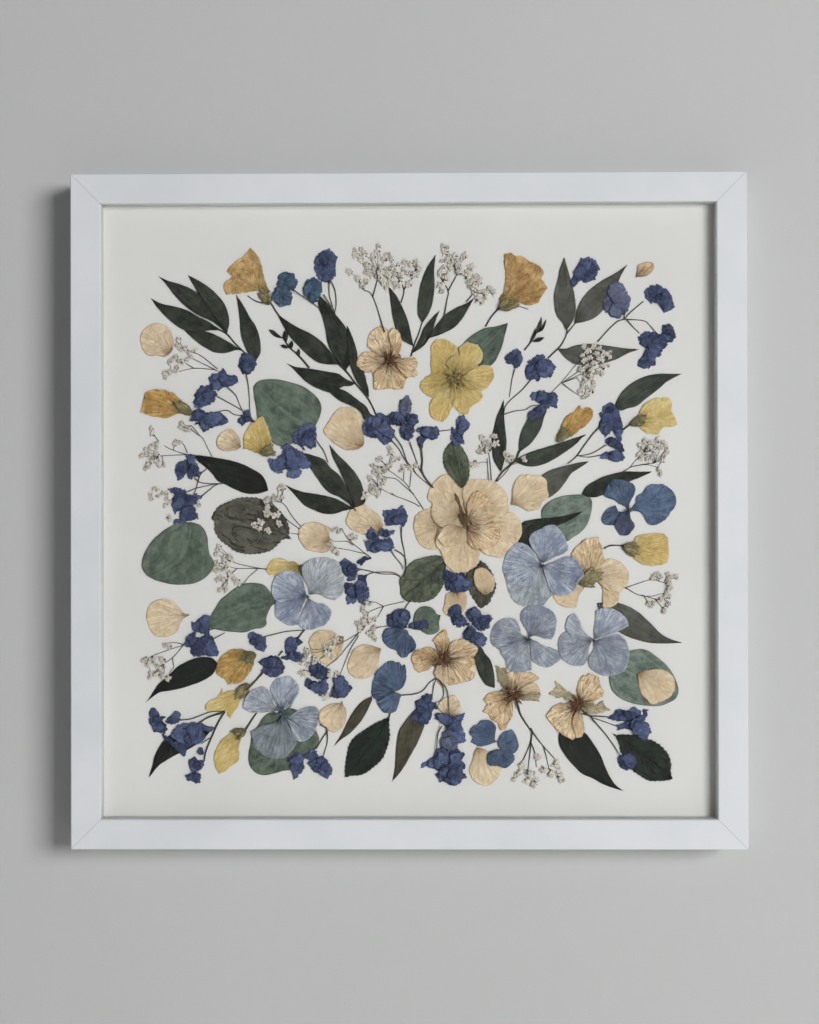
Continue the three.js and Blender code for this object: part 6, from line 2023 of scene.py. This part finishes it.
# %% Group: wrinkles
def wrinkle_group():
    """Thin crooked lines, as creases in a dry sheet are: 1 on a line and 0 away from it."""
    tree, start, end = new_group(
        "wrinkles", {"Around": 0.0, "Outward": 0.0, "Seed": 0.0, "Fineness": 5.0, "Drift": 0.2},
        ["Line"])
    place = blade_place(tree, start, 31.0)
    cloud = noise_of(tree, place, 1.0, detail=2, roughness=0.5, distortion=0.5)
    away = mathnode(tree, "ABSOLUTE", mathnode(tree, "SUBTRACT", cloud, 0.5))
    line = ramp(tree, away, 0.0, 0.045, reverse=True)
    broken = ramp(tree, noise_of(tree, place, 2.3, detail=1), 0.35, 0.6)
    tree.links.new(mathnode(tree, "MULTIPLY", line, broken), end.inputs["Line"])
    return tree


WRINKLES = wrinkle_group()
print("wrinkles:", len(WRINKLES.nodes), "nodes")

# %% [markdown]
# The rim of a dried blade is darker or paler than its middle. The stored distance to the edge gives the
# band, and noise makes its inner border uneven, because an even band would look like a printed outline.

# %% Group: a band at the rim
def edge_group():
    """1 at the blade's edge, falling to 0 over Width mm, with the border made uneven."""
    tree, start, end = new_group("edge_band", {"Edge": 0.0, "Place": None, "Width": 1.2}, ["Band"])
    uneven = noise_of(tree, start.outputs["Place"], 260.0, detail=3)
    factor = mathnode(tree, "MULTIPLY_ADD", uneven, 2.4, -0.4)
    wide = mathnode(tree, "MULTIPLY", start.outputs["Width"], factor)
    share = mathnode(tree, "DIVIDE", start.outputs["Edge"], mathnode(tree, "MAXIMUM", wide, 0.05))
    tree.links.new(ramp(tree, share, 0.2, 1.0, reverse=True), end.inputs["Band"])
    return tree


EDGE_BAND = edge_group()
print("edge band:", len(EDGE_BAND.nodes), "nodes")

# %% [markdown]
# A rose leaf has a midrib, and pairs of side veins that leave it at a slant. The fraction of the place
# along the leaf repeats once a pair, and the distance from the midrib shifts it, which gives the slant.

# %% Group: midrib and side veins
def side_vein_group():
    """A midrib, and side veins that leave it at a slant, as on a rose leaf."""
    tree, start, end = new_group(
        "side_veins", {"Along": 0.0, "Across": 0.0, "Place": None, "Pairs": 7.0, "Slant": 1.6},
        ["Midrib", "Side"])
    out = mathnode(tree, "ABSOLUTE", start.outputs["Across"])
    bend = noise_of(tree, start.outputs["Place"], 120.0, detail=2)
    at = mathnode(tree, "MULTIPLY", start.outputs["Along"], start.outputs["Pairs"])
    at = mathnode(tree, "SUBTRACT", at, mathnode(tree, "MULTIPLY", out, start.outputs["Slant"]))
    at = mathnode(tree, "ADD", at, mathnode(tree, "MULTIPLY_ADD", bend, 0.7, 30.0))
    line = mathnode(tree, "ABSOLUTE", mathnode(tree, "SUBTRACT", mathnode(tree, "FRACT", at), 0.5))
    side = ramp(tree, line, 0.02, 0.10, reverse=True)
    fade = ramp(tree, out, 0.75, 1.0, reverse=True)
    tree.links.new(mathnode(tree, "MULTIPLY", side, fade), end.inputs["Side"])
    tree.links.new(ramp(tree, out, 0.02, 0.09, reverse=True), end.inputs["Midrib"])
    return tree


SIDE_VEINS = side_vein_group()
print("side veins:", len(SIDE_VEINS.nodes), "nodes")

# %% [markdown]
# The recipe of all dried leaves and petals: two tones in clouds with painted light on the crests, then
# streaks, side veins, creases in painted shade, the rim, and a darker tone towards the base, each mixed
# over the last. The same lines also raise or sink the shading a little. One recipe with many settings
# shows what the plants share and where they differ.

# %% Stored values, tints and lines
def attribute(tree, name):
    """A value that the mesh keeps for each of its points."""
    return add(tree, "ShaderNodeAttribute", attribute_name=name).outputs["Fac"]


def tinted(tree, tone, mask, share, code):
    """A tone with another colour over it, where the mask is and by that share."""
    return mix(tree, mathnode(tree, "MULTIPLY", mask, share), tone, srgb(code))


def lines_on_blade(tree, group, fan, **values):
    """A group's lines, round the base of a petal or side by side on a leaf."""
    node = place_group(tree, group, **values)
    tree.links.new(attribute(tree, "spread" if fan else "across"), node.inputs["Around"])
    tree.links.new(attribute(tree, "reach" if fan else "along"), node.inputs["Outward"])
    tree.links.new(attribute(tree, "seed"), node.inputs["Seed"])
    return node.outputs[0]


print("stored values that finishes can read:", VALUE_NAMES)

# %% [markdown]
# The ground tone comes in clouds, and crests are painted lighter than hollows: painted light and shade
# on the relief. The other two masks use the groups for the veins of a leaf and for the rim.

# %% Clouds, side veins and rim
def clouded(tree, place, fine, tones, mottle, seed_range):
    """Two tones in clouds, with painted light on the crests; no two blades are quite the same."""
    cloud = noise_of(tree, place, mottle, detail=5, roughness=0.65, distortion=0.4)
    # Painted light and shade: the higher a point of the relief, the lighter its tone.
    painted_crest_light = mathnode(tree, "MULTIPLY_ADD", attribute(tree, "height"), 0.45, -0.22)
    shade = mathnode(tree, "MULTIPLY_ADD", attribute(tree, "seed"), seed_range, -seed_range / 2)
    amount = mathnode(tree, "ADD", ramp(tree, cloud, 0.25, 0.75), mathnode(tree, "ADD", shade, painted_crest_light))
    amount = mathnode(tree, "ADD", amount, mathnode(tree, "MULTIPLY_ADD", fine, 0.7, -0.35), clamp=True)
    return mix(tree, amount, srgb(tones[0]), srgb(tones[1]))


def side_veins(tree, place, pairs):
    """A leaf's midrib and fainter side veins, as one mask."""
    veins = place_group(tree, SIDE_VEINS, Pairs=pairs)
    tree.links.new(attribute(tree, "along"), veins.inputs["Along"])
    tree.links.new(attribute(tree, "across"), veins.inputs["Across"])
    tree.links.new(place, veins.inputs["Place"])
    fainter = mathnode(tree, "MULTIPLY", veins.outputs["Side"], 0.6)
    return mathnode(tree, "MAXIMUM", veins.outputs["Midrib"], fainter)


def rim_band(tree, place, width):
    """The uneven band at the rim, with its width in mm."""
    band = place_group(tree, EDGE_BAND, Width=width)
    tree.links.new(attribute(tree, "edge"), band.inputs["Edge"])
    tree.links.new(place, band.inputs["Place"])
    return band.outputs["Band"]


print("masks: clouds, side veins and rim")

# %% [markdown]
# With those parts, the recipe itself is a list of steps. Each setting says how far one effect goes, so
# the looks of a plant can be tuned without another set of nodes.

# %% The recipe of a dried finish
DRY_ROUGHNESS = 0.6
DRY_GLOSS = 0.3
BUMP_DEPTH = 0.0004
FINE_GRAIN = 1500.0
CREASES_ON_PETAL = {"Fineness": 3.4, "Drift": 0.13}
CREASES_ON_LEAF = {"Fineness": 2.4, "Drift": 4.5}


def dried(name, dark, light, vein, edge, fan=True, fineness=12.0, vein_amount=0.4, edge_amount=0.5,
          edge_width=1.2, pairs=0.0, drawn_amount=0.6, base=None, base_reach=6.0, base_streak=0.6,
          mottle=110.0, crease_shade="", wrinkle=0.4, seed_range=0.5, drift=1.5):
    """A dried leaf or petal, from its tones and from how far each effect goes."""
    material, tree, shader = new_material(name)
    place = object_place(tree)
    fine = noise_of(tree, place, FINE_GRAIN, detail=4, roughness=0.7)
    tone = clouded(tree, place, fine, (dark, light), mottle, seed_range)
    lines = lines_on_blade(tree, STREAKS, fan, Fineness=fineness, Drift=drift)
    tone = tinted(tree, tone, lines, vein_amount, vein)
    height = mathnode(tree, "MULTIPLY_ADD", lines, 0.7, mathnode(tree, "MULTIPLY", fine, 0.5))
    if pairs:
        drawn = side_veins(tree, place, pairs)
        tone = tinted(tree, tone, drawn, drawn_amount, vein)
        height = mathnode(tree, "MULTIPLY_ADD", drawn, -2.0 * drawn_amount, height)
    # Creases are tinted towards a darker colour: painted shade in the folds, besides their bump.
    if crease_shade:
        folded = lines_on_blade(tree, WRINKLES, fan, **(CREASES_ON_PETAL if fan else CREASES_ON_LEAF))
        tone = tinted(tree, tone, folded, wrinkle, crease_shade)
        height = mathnode(tree, "MULTIPLY_ADD", folded, 2.0 * wrinkle, height)
    tone = tinted(tree, tone, rim_band(tree, place, edge_width), edge_amount, edge)
    # Towards the base the tone darkens: a stain on most petals, and painted shade where cream petals
    # crowd into the rose's heart.
    if base:
        near = ramp(tree, attribute(tree, "reach"), 0.5, base_reach, reverse=True)
        streaked = mathnode(tree, "MULTIPLY_ADD", lines, base_streak, 1.1 - base_streak)
        tone = mix(tree, mathnode(tree, "MULTIPLY", near, streaked, clamp=True), tone, srgb(base))
    tree.links.new(tone, shader.inputs["Base Color"])
    shader.inputs["Specular IOR Level"].default_value = DRY_GLOSS
    tree.links.new(mathnode(tree, "MULTIPLY_ADD", fine, 0.25, DRY_ROUGHNESS), shader.inputs["Roughness"])
    bump(tree, shader, height, BUMP_DEPTH)
    return material


print("dry tissue: roughness from", DRY_ROUGHNESS, "and gloss", DRY_GLOSS)

# %% [markdown]
# Leaves and petals each have their usual settings, so that a line in the lists of finishes says only
# what is special about one plant: a leaf's lines run side by side, and a petal's fan out.

# %% Usual settings of leaves and petals
def leaf(name, dark, light, vein, edge, pairs=0.0, **settings):
    """A leaf, with its veins from base to tip."""
    usual = dict(fan=False, fineness=4 if pairs else 16, vein_amount=0.3, pairs=pairs, edge_width=0.8,
                 mottle=130.0, crease_shade=dark, wrinkle=0.2)
    return dried(name, dark, light, vein, edge, **{**usual, **settings})


def petal(name, dark, light, vein, edge, crease_shade, **settings):
    """A petal, with veins that fan out from its base."""
    usual = dict(fineness=30, vein_amount=0.6, edge_width=0.8, mottle=120.0, drift=0.10)
    return dried(name, dark, light, vein, edge, crease_shade=crease_shade, **{**usual, **settings})


print("creases on a petal:", CREASES_ON_PETAL, "and on a leaf:", CREASES_ON_LEAF)

# %% [markdown]
# Leaves keep most of their green. Eucalyptus is grey and waxy, ruscus goes nearly black, and rose leaves
# turn brown or a dark green. The colours are a dark and a light tone, the veins and the rim.

# %% Finishes of leaves and stems
FINISHES = {
    "E": leaf("eucalyptus", "334036", "6a7868", "7f8c7e", "45483f", pairs=5.0, drawn_amount=0.25,
              mottle=160.0),
    "Ep": leaf("eucalyptus_pale", "4c5a50", "829183", "97a496", "5a6054", pairs=5.0, drawn_amount=0.25,
               mottle=160.0),
    "R": leaf("ruscus_dark", "11140c", "484c41", "54584e", "1a1a14"),
    "W": leaf("ruscus_green", "323730", "545a50", "60665a", "2c2c24"),
    "U": leaf("ruscus_olive", "414233", "666864", "727364", "38362a"),
    "B": leaf("ruscus_black", "070907", "191d15", "22261d", "0b0d09"),
    "V": leaf("ruscus_brown", "2c281a", "605b4a", "605b4b", "33301f"),
    "S": leaf("rose_leaf_brown", "28281f", "605f52", "6c6b5f", "24231d", pairs=7.0, wrinkle=0.9),
    "D": leaf("rose_leaf_black", "020802", "1a2a19", "070c08", "0a100b", pairs=7.0),
    "F": leaf("rose_leaf_green", "333b2c", "68705c", "2c3325", "3f3f2c", pairs=6.0),
    "T": leaf("stem", "37362f", "5e5b4b", "282822", "454439", mottle=300.0),
}
print(len(FINISHES), "finishes of leaves and stems")

# %% [markdown]
# Yellow, amber and peach petals keep their warm colours but go brown or green towards the base. The
# calyx and the heart are small, so their clouds are finer.

# %% Finishes of warm petals, calyx and hearts
WARM = {
    "Y": petal("petal_yellow", "d0b36b", "ead69a", "c0a15a", "ead9a2", "c3a35c", base="97833f",
               base_reach=12.0, base_streak=1.0, vein_amount=0.45),
    "Gp": petal("petal_apricot", "9f7b4b", "dab983", "86662f", "d2ad70", "7f6034", base="5c5c28",
                base_reach=18.0, vein_amount=0.4, fineness=14, wrinkle=0.5),
    "G": petal("petal_gold", "9c743c", "d4b06e", "8a642c", "ccac6e", "7a5828", base="6b6833",
               base_reach=18.0, base_streak=0.9, fineness=18, wrinkle=0.5, vein_amount=0.45),
    "O": petal("petal_peach", "d8b98a", "fde8c5", "a67e4c", "b88f5c", "855d2f", base="5a3820",
               base_reach=12.0, base_streak=0.9, wrinkle=0.5),
    # Cream petals go darker towards the base; in the rose, where they crowd into its heart, that is
    # painted shade.
    "C": petal("petal_cream", "dec6a2", "f6e4c4", "cdb089", "d2b88d", "b8935f", base="b3905f",
               base_reach=8.0, vein_amount=0.35, wrinkle=0.3),
    "Kp": petal("sepal_papery", "a69a7c", "dacdaa", "85795a", "c4b08e", "7d7050", base="6f5a3a",
                base_reach=8.0),
    "K": petal("calyx", "7f7758", "c6b78b", "68643f", "857b50", "5a5532", mottle=260.0),
    "Ks": petal("stamens_gold", "8f8550", "d8c88a", "4b4628", "7d7044", "433c20", mottle=500.0),
    # Q darkens the folds of the cream rose: brown tissue with painted shadow in the folds.
    "Q": petal("flower_heart", "5f4833", "a8875f", "3f2d1e", "8a6030", "38261a", mottle=500.0),
    "Qs": petal("stamens_brown", "5b3d2c", "a07656", "2c1c14", "5c3c24", "20120b", mottle=500.0),
    "Hs": petal("stamens_slate", "3c434c", "7f8990", "333a44", "5a636c", "262c34", mottle=500.0),
}
FINISHES.update(WARM)
print(len(WARM), "warm finishes")

# %% [markdown]
# Hydrangea petals are pale and show every vein. Larkspur is a deep blue that varies from floret to
# floret, so its range by seed is wide. Gypsophila is nearly white, with brown cups.

# %% Finishes of blue and white flowers
LARKSPUR_DRY = dict(mottle=330.0, seed_range=0.9, edge_amount=0.3)
COOL = {
    "H": petal("hydrangea_pale", "8893aa", "d0d8df", "6c778f", "ccd1d5", "76809a", base="5a6680"),
    "I": petal("hydrangea_green", "9aa3a9", "d6dadb", "78838c", "d4d7d5", "88928f", base="66727c"),
    # Jg is a darker copy of the hydrangea finish for one petal: painted shade.
    "Jg": petal("hydrangea_grey", "6b757a", "98a2a5", "555f66", "a3abab", "565f66", base="566068"),
    "J": petal("hydrangea_lilac", "8a92a1", "cbd1d6", "6c7587", "c8ccd0", "747c8e", base="5a6680"),
    "M": petal("petal_blue", "2a3854", "607692", "7e90a6", "2a3652", "2e3a58", base="7f8ea0",
               edge_amount=0.4),
    "N": petal("petal_violet", "3e445c", "5c6278", "70738a", "2f3048", "373b52", edge_amount=0.4),
    "L": petal("larkspur_navy", "252e4b", "66739a", "707ca0", "262d48", "1e243a", **LARKSPUR_DRY),
    "P": petal("larkspur_plum", "4c5570", "788198", "868ea6", "3a4058", "384056", **LARKSPUR_DRY),
    "X": petal("larkspur_teal", "364b63", "637e96", "7690a8", "2a3c54", "2a3c52", **LARKSPUR_DRY),
    "Z": dried("gypsophila_petal", "cfcabd", "fffdf6", "a29b88", "e6e0d0", fan=False, fineness=3,
               vein_amount=0.2, mottle=500.0, seed_range=0.9),
    "A": dried("gypsophila_calyx", "62584a", "94866f", "4a4036", "4a4036", fan=False, fineness=2,
               vein_amount=0.2, mottle=600.0),
}
FINISHES.update(COOL)
print(len(FINISHES), "dried finishes in all")

# %% [markdown]
# A specimen becomes one mesh with one material slot for each kind in it, because on the real object it
# is one plant in one place. Its values go along as attributes of the points, where the finishes read
# them.

# %% Make the mesh of a specimen
def made(specimen):
    """The mesh object of a gathered specimen, with its materials and values."""
    mesh = bpy.data.meshes.new(specimen.name)
    points = np.vstack(specimen.points) * MM
    mesh.from_pydata(points.tolist(), [], specimen.faces)
    used = sorted(set(specimen.kinds))
    for kind in used:
        mesh.materials.append(FINISHES[kind])
    mesh.polygons.foreach_set("material_index", [used.index(kind) for kind in specimen.kinds])
    mesh.polygons.foreach_set("use_smooth", [True] * len(mesh.polygons))
    for value in VALUE_NAMES:
        stored = mesh.attributes.new(value, "FLOAT", "POINT")
        stored.data.foreach_set("value", np.concatenate(specimen.values[value]))
    mesh.validate()
    piece = bpy.data.objects.new(specimen.name, mesh)
    scene.collection.objects.link(piece)
    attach(piece, "root")
    return piece


print("attributes of each mesh:", len(VALUE_NAMES))

# %% [markdown]
# The letter of each row says which of the makers above builds it. Every row has a seed of its own, so
# that a change to one row leaves the others as they are.

# %% Build one specimen
ROW_SEED_STEP = 13


def build(name, rows, seed):
    """A whole specimen as a mesh object."""
    specimen = Specimen(name)
    for order, (kind, points) in enumerate(rows):
        own_seed = seed + order * ROW_SEED_STEP
        if kind == "Z":
            add_heads(specimen, points, own_seed)
        elif kind.startswith("T"):
            add_stem(specimen, float(kind[1:]), points, own_seed)
        elif kind.endswith("s"):
            add_star(specimen, kind, points, own_seed)
        elif kind == "K":
            add_sepals(specimen, kind, points, own_seed)
        else:
            outline = add_blade(specimen, kind, points, own_seed)
            if kind in CRUMPLED_KINDS:
                add_scraps(specimen, kind, outline, own_seed)
    return made(specimen)


print("kinds that can be built:", len(FINISHES))

# %% [markdown]
# Now the specimens go down in the order in which they were pressed: first the small ones that are
# partly covered, then those of the CAD model from the card upwards, then everything that lies on top.
# Each gets the material of its kind, which all specimens of that kind share, so that one material can be
# changed for all.

# %% Lay the specimens
SEED_STEP = 40
UNDER_SEED, CAD_SEED, TOP_SEED = 900, 5000, 20000


def height_in_cad(entry):
    """How far a CAD specimen lies above the card."""
    return -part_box(entry[0])[1][1]


for number, (name, rows) in enumerate(lying_under):
    piece = build(name, rows, UNDER_SEED + SEED_STEP * number)

for number, (name, rows) in enumerate(sorted(in_cad, key=height_in_cad)):
    piece = build(name + "_pressed", rows, CAD_SEED + SEED_STEP * number)
    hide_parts(name)

for number, (name, rows) in enumerate(small_pieces + gypsophila + larkspur):
    piece = build(name, rows, TOP_SEED + SEED_STEP * number)

print("heap reaches", round(float(heap.max()), 2), "mm above the card")
counted = [o for o in scene.objects if o.type == "MESH" and not o.hide_render]
print("pieces:", len(counted), "faces:", sum(len(o.data.polygons) for o in counted))
